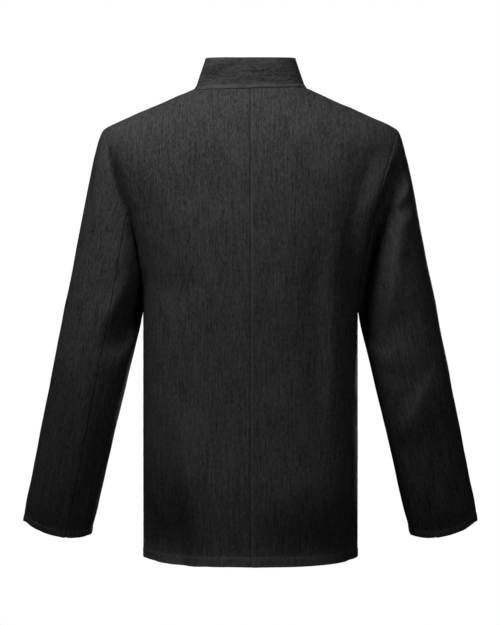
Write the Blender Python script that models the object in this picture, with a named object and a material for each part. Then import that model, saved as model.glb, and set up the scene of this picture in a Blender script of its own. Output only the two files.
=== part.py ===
"""Chef jacket, filled out as if worn, with nobody in it.

Millimetres throughout, turned into metres when a mesh is made. The front faces -Y, the
wearer's left is +X and +Z is up. The origin is the middle of the neck opening, level with
the points where the shoulder seams meet the collar. "Drop" is the distance below it.
Every panel is a thin wall made from a grid of points on its outer face.
"""

import math

import bpy
import numpy as np

METRE = 1000.0

# Cloth
WALL = 1.4
TURN_UP_WALL = 2.7
COLLAR_WALL = 2.6
SEAM_GAP = 0.3
ARMHOLE_GAP = 0.55

# Body
NECK_HALF = 88.0
BACK_NECK_DROP = 5.0
FRONT_NECK_DROP = 80.0
TIP_DROP = 65.0
UNDERARM_DROP = 325.0
HEM_DROP = 746.0
HEM_TURN_UP = 15.0
HEM_SIDE_RISE = 5.0
HEM_RISE_FROM = 500.0
BOX = 0.86
FRONT_NECK_CURVE = 1.3
FRONT_SCOOP = 9.0
FRONT_SCOOP_CURVE = 1.5
TIP_ROW_DROP = {"back": 76.0, "front": 112.0}

# Heights at which the body's level sections are given: drop, half width at the panels' outer
# edge, half width of the whole form under the sleeve's head, depth behind, depth in front.
# The armhole is where the edge lies inside the form.
BODY = np.array([
    (0.0, 88.0, 88.0, 58.0, 34.0),
    (11.0, 114.5, 114.5, 65.0, 38.0),
    (30.0, 157.0, 157.0, 79.0, 47.0),
    (50.0, 203.0, 203.0, 92.0, 57.0),
    (65.0, 233.0, 233.0, 100.0, 65.0),
    (80.0, 228.5, 247.5, 106.5, 73.5),
    (98.0, 223.0, 254.5, 113.0, 83.0),
    (118.0, 217.0, 255.5, 118.0, 92.5),
    (138.0, 211.0, 251.0, 122.0, 102.0),
    (174.0, 200.0, 236.5, 127.0, 115.0),
    (198.0, 191.0, 224.5, 130.0, 122.0),
    (242.0, 182.0, 202.5, 133.0, 132.0),
    (285.0, 176.0, 183.5, 134.0, 137.0),
    (325.0, 171.5, 171.5, 134.0, 140.0),
    (400.0, 171.0, 171.0, 132.0, 140.0),
    (500.0, 171.0, 171.0, 130.0, 138.0),
    (620.0, 171.0, 171.0, 132.0, 138.0),
    (746.0, 171.0, 171.0, 136.0, 140.0),
])

# Front overlap and its buttons
OVERLAP_HALF = 75.0
OVERLAP_LIFT = 2.0
OVERLAP_RAMP = (80.0, 118.0)
OVERLAP_TOP_RISE = 14.0
BUTTON_ACROSS = 58.0
BUTTON_DROPS = (112.0, 218.0, 324.0, 430.0, 536.0)
BUTTON_SIDES = 20
# radius, height above the cloth
BUTTON_PROFILE = (
    (0.0, 2.0),
    (5.6, 2.0),
    (6.6, 3.2),
    (8.0, 3.2),
    (9.0, 2.2),
    (8.6, 0.8),
    (6.5, 0.0),
    (0.0, 0.0),
)

# Collar
COLLAR_BACK_HEIGHT = 49.0
COLLAR_FRONT_HEIGHT = 40.0
COLLAR_LEAN_ACROSS = 0.185
COLLAR_LEAN_DEEP = 0.12
COLLAR_FRONT_GAP = 3.0
COLLAR_SLOPE_FROM = 0.3
COLLAR_FRONT_ROUND, COLLAR_ROUND_FROM = 0.3, 0.9
COLLAR_BACK_SHARE = 0.42
COLLAR_ROWS = 4

# Sleeve: its outer and inner edges seen from behind, and how its tube runs from biceps to cuff
# drop, outer edge, inner edge
SLEEVE_EDGES = np.array([
    (340.0, 295.0, 171.0),
    (369.0, 300.6, 176.3),
    (433.0, 314.0, 189.8),
    (498.0, 327.8, 205.3),
    (563.0, 342.0, 221.9),
    (630.0, 356.7, 238.2),
    (664.0, 364.6, 246.9),
    (712.0, 376.0, 258.0),
])
OUTER_DROPS = (340.0, 689.0)
INNER_DROPS = (365.0, 713.0)
CUFF_TURN_UP = 12.0
# share of the way from biceps to cuff, forward-back position, half depth, pitch in degrees
TUBE = np.array([
    (0.0, 3.0, 75.0, 0.0),
    (0.2, 1.0, 69.0, 4.0),
    (0.4, -11.0, 64.0, 9.0),
    (0.7, -40.0, 56.0, 16.0),
    (1.0, -76.0, 48.0, 23.0),
])
# Seams of the two-piece sleeve, as shares of the way round from the outer edge to the inner
# share of the way down, back seam, front seam
ARMHOLE_ROWS = 14
BACK_SEAM_ROW, FRONT_SEAM_ROW = 7, 8
SLEEVE_SEAMS = np.array([
    (0.0, BACK_SEAM_ROW / ARMHOLE_ROWS, -FRONT_SEAM_ROW / ARMHOLE_ROWS),
    (0.5, 0.545, -0.64),
    (1.0, 0.56, -0.67),
    (2.0, 0.565, -0.67),
])
SEAM_INSET = 0.0009
# The sleeve's head leaves the shoulder tip and the underarm in these directions, and reaches
# the biceps in the last; each pull is a share of the distance across.
HEAD_AT_TIP, HEAD_TIP_PULL = (0.93, 0.0, -0.37), 0.16
HEAD_AT_UNDERARM, HEAD_UNDERARM_PULL = (0.1, 0.0, -1.0), 1.0
HEAD_BACKWARD = 0.8
HEAD_AT_BICEPS, HEAD_BICEPS_PULL = (0.225, -0.01, -0.975), 0.95
HEAD_GAP_CURVE = 6

# Large soft folds: a line on the flat view, with a width and a height (minus is a trough)
# side (+1 back, -1 front), x1, drop1, x2, drop2, width, height
BODY_FOLDS = (
    (1, 186.0, 120.0, 150.0, 300.0, 26.0, -3.0),
    (1, 105.0, 150.0, 128.0, 640.0, 24.0, 3.0),
    (1, -186.0, 110.0, -128.0, 340.0, 24.0, -3.5),
    (1, -150.0, 330.0, -118.0, 700.0, 22.0, 3.0),
    (1, 140.0, 560.0, 128.0, 746.0, 20.0, -4.0),
    (1, -55.0, 420.0, -75.0, 746.0, 26.0, -2.5),
    (-1, 150.0, 300.0, 120.0, 640.0, 24.0, -3.0),
    (-1, -150.0, 290.0, -112.0, 650.0, 24.0, -3.0),
    (-1, 30.0, 560.0, 45.0, 746.0, 30.0, 3.0),
)
# Folds of a sleeve: share round (0 outer, 0.5 back, 1 inner, minus front), share down,
# then the other end, a width in millimetres and a height
SLEEVE_FOLDS = {
    1: (
        (0.66, 0.45, 0.58, 0.85, 15.0, -3.5),
        (0.80, 1.02, 0.50, 1.25, 15.0, -3.5),
        (-0.85, 0.95, -0.45, 1.20, 13.0, -4.0),
        (0.30, 1.20, 0.50, 1.60, 16.0, 2.5),
    ),
    -1: (
        (0.45, 0.16, 0.72, 0.50, 12.0, -4.5),
        (0.64, 0.60, 0.52, 1.05, 15.0, -4.0),
        (0.78, 1.12, 0.45, 1.32, 15.0, -3.5),
        (-0.85, 0.90, -0.50, 1.25, 13.0, -4.0),
    ),
}

# Where the folds fade: distances from the side seam, below the neck and from the middle
# of the back, then shares down the sleeve and round it under the arm
BODY_CALM_SIDE = (4.0, 50.0)
BODY_CALM_TOP = (70.0, 130.0)
BODY_CALM_MIDDLE = (0.0, 24.0)
SLEEVE_CALM_TOP = (0.05, 0.35)
SLEEVE_CALM_CUFF = (1.75, 1.95)
UNDERARM_CALM_DOWN, UNDERARM_CALM_ROUND = (0.9, 1.15), (0.6, 0.8)
# Half the way round a sleeve, and the length of its head or its tube
SLEEVE_HALF_ROUND = 205.0
SLEEVE_STRETCH = 290.0

BACK_COLUMNS = 10
FRONT_COLUMNS, LAP_COLUMNS, LAP_SHARE = 11, 4, 0.36
NECK_ROWS = 5
SIDE_ROW_DROPS = (360.0, 410.0, 470.0, 530.0, 590.0, 650.0, 700.0, 731.0, 732.0, 746.0)
CAP_ROWS = (0.0, 0.05, 0.12, 0.22, 0.36, 0.52, 0.68, 0.84, 1.0)
TUBE_ROWS = (1.1, 1.2, 1.32, 1.46, 1.6, 1.74, 1.88, 1.962, 1.965, 2.0)

SIGN = {"back": 1.0, "front": -1.0}
# Colour and roughness
DENIM = ((0.022, 0.023, 0.026, 1.0), 0.85)
BUTTON_PLASTIC = ((0.012, 0.012, 0.013, 1.0), 0.4)


def smooth(table, column, at):
    """Reads a column of a table of sizes along a curve that never swings past them."""
    xs = table[:, 0]
    ys = table[:, column]
    steps = np.diff(xs)
    slopes = np.diff(ys) / steps
    bends = np.zeros(len(xs))
    bends[0], bends[-1] = slopes[0], slopes[-1]
    for i in range(1, len(xs) - 1):
        if slopes[i - 1] * slopes[i] > 0:
            before = 2 * steps[i] + steps[i - 1]
            after = steps[i] + 2 * steps[i - 1]
            bends[i] = (before + after) / (before / slopes[i - 1] + after / slopes[i])
    at = np.asarray(at, float)
    i = np.clip(np.searchsorted(xs, at) - 1, 0, len(steps) - 1)
    t = (at - xs[i]) / steps[i]
    return (
        ys[i] * (1 + 2 * t) * (1 - t) ** 2
        + ys[i + 1] * t * t * (3 - 2 * t)
        + steps[i] * (bends[i] * t * (1 - t) ** 2 + bends[i + 1] * t * t * (t - 1))
    )


def ease(low, high, value):
    share = np.clip((value - low) / (high - low), 0, 1)
    return share * share * (3 - 2 * share)


def signed_power(value, power):
    return np.sign(value) * np.abs(value) ** power


def unit(vectors):
    return vectors / np.maximum(np.linalg.norm(vectors, axis=-1, keepdims=True), 1e-9)


def section(face, drop):
    """Half width, depth and last angle of the body's level section at a height."""
    share = np.clip((drop - TIP_DROP) / (UNDERARM_DROP - TIP_DROP), 0, 1)
    width = smooth(BODY, 2, drop)
    edge = smooth(BODY, 1, drop)
    if face == "front":
        edge = edge - FRONT_SCOOP * (4 * share * (1 - share)) ** FRONT_SCOOP_CURVE
    cut = np.where((share > 0) & (share < 1), np.clip(edge / width, 0, 1), 1.0)
    depth = smooth(BODY, 3 if face == "back" else 4, drop)
    return width, depth, np.arcsin(cut ** (1 / BOX))


def plain_body(face, angle, drop):
    width, depth, _ = section(face, drop)
    x = width * signed_power(np.sin(angle), BOX)
    y = SIGN[face] * depth * signed_power(np.cos(angle), BOX)
    return np.stack(np.broadcast_arrays(x, y, -drop), -1)


def body_normal(face, angle, drop):
    """The outward direction of the body's smooth form."""
    small = 0.01
    across = plain_body(face, angle + small, drop) - plain_body(face, angle - small, drop)
    down = plain_body(face, angle, drop + small) - plain_body(face, angle, drop - small)
    return unit(np.cross(across, down)) * SIGN[face]


def line_distance(x, y, x1, y1, x2, y2):
    """Distance from the line between two points."""
    length = (x2 - x1) ** 2 + (y2 - y1) ** 2
    near = np.clip(((x - x1) * (x2 - x1) + (y - y1) * (y2 - y1)) / length, 0, 1)
    return np.hypot(x - x1 - near * (x2 - x1), y - y1 - near * (y2 - y1))


def body_fold(face, side, points):
    """How far the body's soft folds lift it; nothing at its seams and its neck edge."""
    x = points[..., 0] * side
    lift = 0
    for which, x1, drop1, x2, drop2, width, height in BODY_FOLDS:
        if which != SIGN[face]:
            continue
        away = line_distance(x, -points[..., 2], x1, drop1, x2, drop2)
        lift = lift + height * np.exp(-((away / width) ** 2))
    free = ease(*BODY_CALM_SIDE, np.abs(points[..., 1])) * ease(*BODY_CALM_TOP, -points[..., 2])
    if face == "back":
        free = free * ease(*BODY_CALM_MIDDLE, np.abs(x))
    return lift * free


def body(face, side, angle, drop):
    """Points of the outer face of the wearer's left half (side 1) or right half (side -1)."""
    points = plain_body(face, angle, drop)
    normals = body_normal(face, angle, drop)
    points = points + normals * body_fold(face, side, points)[..., None]
    return points * (side, 1, 1), normals * (side, 1, 1)


def angle_at(face, x, drop):
    width, _, _ = section(face, drop)
    return np.arcsin(np.clip(signed_power(x / width, 1 / BOX), -1, 1))


def neck_line(face, share):
    """(x, drop) of the neck seam, from the middle (0) to the shoulder seam (1)."""
    x = NECK_HALF * np.sin(share * math.pi / 2)
    if face == "back":
        return x, BACK_NECK_DROP * (1 - share**2)
    return x, FRONT_NECK_DROP * np.cos(share * math.pi / 2) ** FRONT_NECK_CURVE


def panel_rows(face, shares, neck_shares):
    """(angles, drops) of a half's rows: neck seam, shoulder, armhole, side, hem."""
    x, neck = neck_line(face, neck_shares)
    start = angle_at(face, x, neck)
    middle = TIP_ROW_DROP[face]
    bow = ease(0, 1, shares)
    tip = middle + (TIP_DROP - middle) * bow
    stop = shares * section(face, tip)[2]
    rows = []
    for i in range(NECK_ROWS):
        part = i / NECK_ROWS
        rows.append((start + (stop - start) * part, neck + (tip - neck) * part))
    for i in range(ARMHOLE_ROWS + 1):
        turn = i / ARMHOLE_ROWS
        outer = TIP_DROP + (UNDERARM_DROP - TIP_DROP) * (1 - math.cos(math.pi * turn)) / 2
        inner = middle + (UNDERARM_DROP - middle) * turn
        drops = inner + (outer - inner) * bow
        rows.append((shares * section(face, drops)[2], drops))
    for drop in SIDE_ROW_DROPS:
        rise = HEM_SIDE_RISE * shares**4 * ease(HEM_RISE_FROM, HEM_DROP, drop)
        drops = np.full(len(shares), drop) - rise
        rows.append((shares * math.pi / 2, drops))
    return np.array([row[0] for row in rows]), np.array([row[1] for row in rows])


def hem_walls():
    """The wall of each row of a panel: the last rows are the hem's turn-up."""
    above = np.full(NECK_ROWS + ARMHOLE_ROWS + 1, WALL)
    turned = np.array(SIDE_ROW_DROPS) > HEM_DROP - HEM_TURN_UP
    return np.concatenate([above, np.where(turned, TURN_UP_WALL, WALL)])[:, None]


def cloth(name, outer, normals, walls):
    """A closed wall from a grid of outer points, the directions out of it and its thickness.

    Each cell of the grid is cut along its shorter diagonal, the same way on both faces.
    """
    inner = outer - normals * np.broadcast_to(walls, outer.shape[:2])[..., None]
    rows, columns = outer.shape[:2]
    count = rows * columns
    grid = np.arange(count).reshape(rows, columns)
    points = np.concatenate([outer.reshape(-1, 3), inner.reshape(-1, 3)])
    i, j = rows // 2, columns // 2
    beside, ahead = outer[i, j + 1] - outer[i, j], outer[i + 1, j] - outer[i, j]
    turned = np.dot(np.cross(beside, ahead), normals[i, j]) < 0
    faces = []
    for i in range(rows - 1):
        for j in range(columns - 1):
            a, b, c, d = grid[i, j], grid[i, j + 1], grid[i + 1, j + 1], grid[i + 1, j]
            if np.linalg.norm(points[a] - points[c]) > np.linalg.norm(points[b] - points[d]):
                a, b, c, d = b, c, d, a
            for face in ((a, b, c), (a, c, d)):
                faces.append(face)
                faces.append(tuple(index + count for index in face[::-1]))
    rim = [*grid[0, :-1], *grid[:-1, -1], *grid[-1, :0:-1], *grid[:0:-1, 0]]
    for here, there in zip(rim, rim[1:] + rim[:1]):
        faces.append((there, here, here + count))
        faces.append((there, here + count, there + count))
    faces = np.array(faces)[:, ::-1] if turned else np.array(faces)
    mesh = bpy.data.meshes.new(name)
    mesh.from_pydata((points / METRE).tolist(), [], faces.tolist())
    mesh.update()
    place(name, mesh, DENIM)


def place(name, mesh, finish):
    obj = bpy.data.objects.new(name, mesh)
    bpy.context.scene.collection.objects.link(obj)
    material = bpy.data.materials.new(name)
    material.use_nodes = True
    shader = material.node_tree.nodes["Principled BSDF"]
    shader.inputs["Base Color"].default_value, shader.inputs["Roughness"].default_value = finish
    mesh.materials.append(material)


def seam_edges(points, normals, side, centre_seam):
    """Holds a half's edges half a seam gap from its neighbour's, and its rims square."""
    half = SEAM_GAP / 2
    outer_rows = list(range(NECK_ROWS + 1)) + list(range(NECK_ROWS + ARMHOLE_ROWS, len(points)))
    facing = np.sign(points[len(points) // 2, 0, 1])
    points[outer_rows, -1, 1] = facing * half
    normals[outer_rows, -1, 1] = 0
    if centre_seam:
        points[:, 0, 0] = side * half
        normals[:, 0, 0] = 0
    return points, unit(normals)


def build_backs():
    shares = np.linspace(0, 1, BACK_COLUMNS + 1)
    for name, side in (("back_left", 1), ("back_right", -1)):
        angles, drops = panel_rows("back", shares, shares)
        points, normals = body("back", side, angles, drops)
        points, normals = seam_edges(points, normals, side, True)
        cloth(name, points, normals, hem_walls())


def front_grid(side):
    """The front's own half, and its overlap past the middle up to the edge.

    The columns under and over the overlap stand at the same distances from the middle, so
    that the two fronts lie face to face.
    """
    lapped = np.linspace(0, 1, LAP_COLUMNS + 1)
    beyond = np.linspace(0, 1, FRONT_COLUMNS - LAP_COLUMNS + 1)[1:]
    shares = np.concatenate([lapped * LAP_SHARE, LAP_SHARE + (1 - LAP_SHARE) * beyond])
    reach = np.arcsin(OVERLAP_HALF / NECK_HALF) / (math.pi / 2)
    neck = np.concatenate([
        np.arcsin(OVERLAP_HALF * lapped / NECK_HALF) / (math.pi / 2),
        reach + (1 - reach) * beyond,
    ])
    angles, drops = panel_rows("front", shares, neck)
    lap, rest = slice(0, LAP_COLUMNS + 1), slice(LAP_COLUMNS + 1, None)
    edge = angle_at("front", OVERLAP_HALF, drops[NECK_ROWS:, rest])
    last = section("front", drops[NECK_ROWS:, rest])[2]
    angles[NECK_ROWS:, rest] = edge + (last - edge) * beyond
    down = np.linspace(0, 1, NECK_ROWS + 1)[:, None]
    angles[: NECK_ROWS + 1, rest] = angles[0, rest] * (1 - down) + angles[NECK_ROWS, rest] * down
    angles[:, lap] = angle_at("front", OVERLAP_HALF * lapped, drops[:, lap])
    past = lapped[:0:-1]
    past_drops = drops[:, LAP_COLUMNS:0:-1].copy()
    top = FRONT_NECK_DROP - OVERLAP_TOP_RISE * past**2
    past_drops[: NECK_ROWS + 1] = top * (1 - down) + past_drops[NECK_ROWS] * down
    past_angles = angle_at("front", -OVERLAP_HALF * past, past_drops)
    angles = np.concatenate([past_angles, angles], axis=1)
    drops = np.concatenate([past_drops, drops], axis=1)
    points, normals = body("front", side, angles, drops)
    points, normals = seam_edges(points, normals, side, False)
    return points, normals


def build_fronts():
    """The wearer's right front lies under, and the left is lifted clear of it."""
    points, normals = front_grid(-1)
    cloth("front_right", points, normals, hem_walls())
    points, normals = front_grid(1)
    lapped = 1 - ease(*OVERLAP_RAMP, points[..., 0])
    lift = (OVERLAP_LIFT + hem_walls() - WALL) * lapped
    cloth("front_left", points + normals * lift[..., None], normals, hem_walls())


def armhole(side, turn):
    """The armhole seam: turn 0 is the shoulder tip, 1 the underarm, minus the front."""
    level = TIP_DROP + (UNDERARM_DROP - TIP_DROP) * (1 - np.cos(np.pi * np.abs(turn))) / 2
    back, _ = body("back", side, section("back", level)[2], level)
    front, _ = body("front", side, section("front", level)[2], level)
    return np.where((turn >= 0)[..., None], back, front) * (side, 1, 1)


def tube(turn, down):
    """A ring of the sleeve's tube: down runs from 0 at the biceps to 1 at the cuff."""
    outer_drop = OUTER_DROPS[0] + (OUTER_DROPS[1] - OUTER_DROPS[0]) * down
    inner_drop = INNER_DROPS[0] + (INNER_DROPS[1] - INNER_DROPS[0]) * down
    outer_x = smooth(SLEEVE_EDGES, 1, outer_drop)
    inner_x = smooth(SLEEVE_EDGES, 2, inner_drop)
    forward = smooth(TUBE, 1, down)
    half_depth = smooth(TUBE, 2, down)
    pitch = np.radians(smooth(TUBE, 3, down))
    across, behind = np.cos(np.pi * turn), np.sin(np.pi * turn)
    x = (outer_x + inner_x) / 2 + (outer_x - inner_x) / 2 * across
    y = forward + half_depth * behind * np.cos(pitch)
    drop = (outer_drop + inner_drop) / 2 + (outer_drop - inner_drop) / 2 * across
    drop = drop + half_depth * behind * np.sin(pitch)
    return np.stack(np.broadcast_arrays(x, y, -drop), -1)


def cap(side, turn, down):
    """The sleeve's head, from the armhole seam to the biceps ring."""
    start = armhole(side, turn)
    stop = tube(turn, 0 * down)
    chord = np.linalg.norm(stop - start, axis=-1, keepdims=True)
    high = ((start[..., 2:] + UNDERARM_DROP) / (UNDERARM_DROP - TIP_DROP)).clip(0, 1)
    behind = np.sin(np.pi * turn)[..., None]
    leave = high * HEAD_AT_TIP + (1 - high) * HEAD_AT_UNDERARM
    leave = unit(leave + behind * high * (1 - high) * (0, HEAD_BACKWARD, 0))
    leave = leave * chord * (HEAD_TIP_PULL * high + HEAD_UNDERARM_PULL * (1 - high))
    arrive = unit(np.array(HEAD_AT_BICEPS)) * chord * HEAD_BICEPS_PULL
    t = down[..., None]
    return (
        start * (1 + 2 * t) * (1 - t) ** 2
        + stop * t * t * (3 - 2 * t)
        + leave * t * (1 - t) ** 2
        + arrive * t * t * (t - 1)
        + np.array((ARMHOLE_GAP, 0, 0)) * (1 - t) ** HEAD_GAP_CURVE
    )


def plain_sleeve(side, turn, down):
    turn = (turn + 1) % 2 - 1
    head = cap(side, turn, np.clip(down, 0, 1))
    rest = tube(turn, np.clip(down - 1, 0, 1.01))
    return np.where((down <= 1)[..., None], head, rest)


def sleeve(side, turn, down):
    """Points of the sleeve's outer face with its folds, and the directions out of it."""
    small = 0.002
    around = plain_sleeve(side, turn + small, down) - plain_sleeve(side, turn - small, down)
    ahead = np.minimum(down + small, 2.0)
    behind = np.maximum(down - small, 0.0)
    along = plain_sleeve(side, turn, ahead) - plain_sleeve(side, turn, behind)
    normals = unit(np.cross(along, around))
    lift = 0
    wrapped = (turn + 1) % 2 - 1
    for turn1, down1, turn2, down2, width, height in SLEEVE_FOLDS[side]:
        ends = np.array((turn1, down1, turn2, down2))
        ends = ends * (SLEEVE_HALF_ROUND, SLEEVE_STRETCH, SLEEVE_HALF_ROUND, SLEEVE_STRETCH)
        away = line_distance(wrapped * SLEEVE_HALF_ROUND, down * SLEEVE_STRETCH, *ends)
        lift = lift + height * np.exp(-((away / width) ** 2))
    under = (1 - ease(*UNDERARM_CALM_DOWN, down)) * ease(*UNDERARM_CALM_ROUND, np.abs(wrapped))
    lift = lift * ease(*SLEEVE_CALM_TOP, down) * (1 - ease(*SLEEVE_CALM_CUFF, down)) * (1 - under)
    points = plain_sleeve(side, turn, down) + normals * lift[..., None]
    return points * (side, 1, 1), normals * (side, 1, 1)


def build_sleeves():
    down = np.array(CAP_ROWS + TUBE_ROWS)
    back_seam = smooth(SLEEVE_SEAMS, 1, down)
    front_seam = smooth(SLEEVE_SEAMS, 2, down)
    walls = np.where(down > 2 - CUFF_TURN_UP / (OUTER_DROPS[1] - OUTER_DROPS[0]), TURN_UP_WALL, WALL)
    over = BACK_SEAM_ROW + FRONT_SEAM_ROW
    for label, side in (("left", 1), ("right", -1)):
        for name, first, last, columns in (
            ("sleeve_top_", front_seam, back_seam, over),
            ("sleeve_under_", back_seam, front_seam + 2, 2 * ARMHOLE_ROWS - over),
        ):
            share = np.linspace(0, 1, columns + 1)[None, :]
            start, stop = (first + SEAM_INSET)[:, None], (last - SEAM_INSET)[:, None]
            turns = start + (stop - start) * share
            grid = np.broadcast_to(down[:, None], turns.shape)
            points, normals = sleeve(side, turns, grid)
            cloth(name + label, points, normals, walls[:, None])


def collar_base(share):
    """The neck seam on the wearer's left, from the centre back (0) to the centre front (1)."""
    points = []
    for at in share:
        if at <= COLLAR_BACK_SHARE:
            face, along = "back", at / COLLAR_BACK_SHARE
        else:
            face, along = "front", (1 - at) / (1 - COLLAR_BACK_SHARE)
        x, drop = neck_line(face, along)
        points.append(plain_body(face, angle_at(face, x, drop), drop))
    return np.array(points)


def build_collar():
    steps = np.linspace(0, 1, BACK_COLUMNS + 1)
    ahead = np.linspace(0, 1, LAP_COLUMNS + 1) * OVERLAP_HALF / NECK_HALF
    ahead = np.arcsin(ahead) / (math.pi / 2)
    beyond = np.linspace(0, 1, FRONT_COLUMNS - LAP_COLUMNS + 1)[1:]
    ahead = np.concatenate([ahead, ahead[-1] + (1 - ahead[-1]) * beyond])
    share = np.concatenate([
        COLLAR_BACK_SHARE * steps[:-1],
        1 - (1 - COLLAR_BACK_SHARE) * ahead[::-1],
    ])
    base = collar_base(share)
    slope = ease(COLLAR_SLOPE_FROM, 1, share)
    height = COLLAR_BACK_HEIGHT + (COLLAR_FRONT_HEIGHT - COLLAR_BACK_HEIGHT) * slope
    height = height * (1 - COLLAR_FRONT_ROUND * ease(COLLAR_ROUND_FROM, 1, share) ** 2)
    lean = np.array((1 - COLLAR_LEAN_ACROSS, 1 - COLLAR_LEAN_DEEP, 1))
    top = base * lean + np.stack([0 * height, 0 * height, height], -1)
    base[:, 0] = np.maximum(base[:, 0], COLLAR_FRONT_GAP / 2 * (share > 0.5))
    top[:, 0] = np.maximum(top[:, 0], COLLAR_FRONT_GAP / 2 * (share > 0.5))
    base[:, 2] += SEAM_GAP
    rows = np.linspace(0, 1, COLLAR_ROWS + 1)[:, None, None]
    half = base + (top - base) * rows
    whole = np.concatenate([half[:, :0:-1] * (-1, 1, 1), half], axis=1)
    across = np.gradient(whole, axis=1)
    up = np.gradient(whole, axis=0)
    normals = unit(np.cross(up, across))
    outward = np.sign((normals[..., :2] * whole[..., :2]).sum(-1, keepdims=True).sum())
    cloth("collar", whole, normals * outward, COLLAR_WALL)


def build_buttons():
    """Flat-rimmed discs on the outer front, each turned to face out of the cloth under it."""
    around = np.linspace(0, 2 * math.pi, BUTTON_SIDES, endpoint=False)
    for label, across in (("left", BUTTON_ACROSS), ("right", -BUTTON_ACROSS)):
        for number, drop in enumerate(BUTTON_DROPS, 1):
            drop = np.array(drop)
            spot, out = body("front", 1, angle_at("front", across, drop), drop)
            lift = OVERLAP_LIFT * (1 - ease(*OVERLAP_RAMP, across)) + SEAM_GAP
            beside = unit(np.cross(out, (0, 0, 1)))
            above = np.cross(beside, out)
            points, faces = [], []
            for radius, height in BUTTON_PROFILE:
                ring = around if radius else around[:1]
                start = len(points)
                for turn in ring:
                    flat = (beside * math.cos(turn) - above * math.sin(turn)) * radius
                    points.append(spot + flat + out * (lift + height))
                if start:
                    faces += ring_faces(last, len(ring) if radius else 1, start)
                last = (start, len(ring))
            mesh = bpy.data.meshes.new(f"button_{label}_{number}")
            mesh.from_pydata((np.array(points) / METRE).tolist(), [], faces)
            mesh.update()
            place(f"button_{label}_{number}", mesh, BUTTON_PLASTIC)


def ring_faces(last, count, start):
    """Faces between one ring of points and the next; a ring of one point is a tip."""
    before, size = last
    turns = max(size, count)
    faces = []
    for i in range(turns):
        here, there = i, (i + 1) % turns
        if size == 1:
            faces.append((before, start + here, start + there))
        elif count == 1:
            faces.append((before + there, before + here, start))
        else:
            faces.append((before + here, start + here, start + there, before + there))
    return faces


for old in list(bpy.data.objects):
    bpy.data.objects.remove(old)
build_backs()
build_fronts()
build_sleeves()
build_collar()
build_buttons()
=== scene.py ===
"""Chef jacket: its cloth, sewing and buttons, and the stage that it stands on.

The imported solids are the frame. Every piece of cloth is a thin shell on the form of its
solid, made from the same few sizes, with its folds, seams and turned edges laid on.
Lengths in the tables are millimetres, unless a comment says metres. "Drop" is the distance
below the origin, which is the middle of the neck opening. The front faces -Y and the
wearer's left is +X.
"""

import math

import bpy
import numpy as np
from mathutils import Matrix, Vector


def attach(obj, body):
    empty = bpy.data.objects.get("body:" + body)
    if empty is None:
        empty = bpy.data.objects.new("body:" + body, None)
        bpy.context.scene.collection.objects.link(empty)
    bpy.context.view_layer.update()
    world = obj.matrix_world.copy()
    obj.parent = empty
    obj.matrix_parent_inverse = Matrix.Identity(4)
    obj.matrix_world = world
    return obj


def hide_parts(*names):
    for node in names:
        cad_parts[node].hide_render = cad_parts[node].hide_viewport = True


bl_info = {
    "name": "Chef Jacket",
    "version": (1, 0, 0),
    "blender": (4, 5, 0),
    "location": "View3D > Sidebar > Jacket",
    "description": "Makes a chef jacket's cloth, sewing and buttons over its packed solids",
    "category": "Object",
}

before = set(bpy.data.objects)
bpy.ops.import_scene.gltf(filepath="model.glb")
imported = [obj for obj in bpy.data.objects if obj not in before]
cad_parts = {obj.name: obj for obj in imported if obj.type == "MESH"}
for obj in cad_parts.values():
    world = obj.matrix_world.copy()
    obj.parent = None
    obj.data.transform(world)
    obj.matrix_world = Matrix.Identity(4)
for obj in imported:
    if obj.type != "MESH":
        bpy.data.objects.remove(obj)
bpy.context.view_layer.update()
METRE = 1000.0
SIDES = (("left", 1), ("right", -1))
GRAIN = "grain"
WEAR = "wear"
# How strongly the worn edges show, and what share of that is seen on the inside
DENIM_WORN = 0.32
INSIDE_WORN = 0.4
# Where the grain's pattern starts on a cut, in millimetres; on the backs it starts at 0
GRAIN_STARTS = {"front": 400.0, "sleeve": 900.0, "collar": 1500.0}

# ---------------------------------------------------------------- sizes of the form

NECK_HALF = 88.0
BACK_NECK_DROP = 5.0
FRONT_NECK_DROP = 80.0
TIP_DROP = 65.0
UNDERARM_DROP = 325.0
HEM_DROP = 746.0
HEM_SIDE_RISE = 5.0
HEM_RISE_FROM = 500.0
# distance from the middle, minus on the wearer's right, and how far the hem hangs below its
# cut line
HEM_DIPS = np.array([
    (-171, 5.2),
    (-131, 3.7),
    (-81, 3.4),
    (-31, 1.9),
    (0, 1.2),
    (31, 0.7),
    (69, 1.9),
    (106, 5),
    (131, 5.7),
    (171, 5.2),
])
BOX = 0.86
FRONT_NECK_CURVE = 1.3
FRONT_SCOOP = 9.0
FRONT_SCOOP_CURVE = 1.5
TIP_ROW_DROP = {"back": 76.0, "front": 112.0}
SIGN = {"back": 1.0, "front": -1.0}

# drop, half width at the panels' outer edge, half width of the whole form under the sleeve's
# head, depth behind, depth in front
BODY = np.array([
    (0, 88, 88, 58, 34),
    (11, 114.5, 114.5, 65, 38),
    (30, 157, 157, 79, 47),
    (50, 203, 203, 92, 57),
    (65, 233, 233, 100, 65),
    (80, 228.5, 247.5, 106.5, 73.5),
    (98, 223, 254.5, 113, 83),
    (118, 217, 255.5, 118, 92.5),
    (138, 211, 251, 122, 102),
    (174, 200, 236.5, 127, 115),
    (198, 191, 224.5, 130, 122),
    (242, 182, 202.5, 133, 132),
    (285, 176, 183.5, 134, 137),
    (325, 171.5, 171.5, 134, 140),
    (400, 171, 171, 132, 140),
    (500, 171, 171, 130, 138),
    (620, 171, 171, 132, 138),
    (746, 171, 171, 136, 140),
])

OVERLAP_HALF = 75.0
OVERLAP_LIFT = 2.0
OVERLAP_RAMP = (80.0, 118.0)
OVERLAP_TOP_RISE = 14.0
UNDERLAP_SINK = 0.3
LAP_SHARE = 0.36
BUTTON_ACROSS = 58.0
BUTTON_DROPS = (112.0, 218.0, 324.0, 430.0, 536.0)
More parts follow.
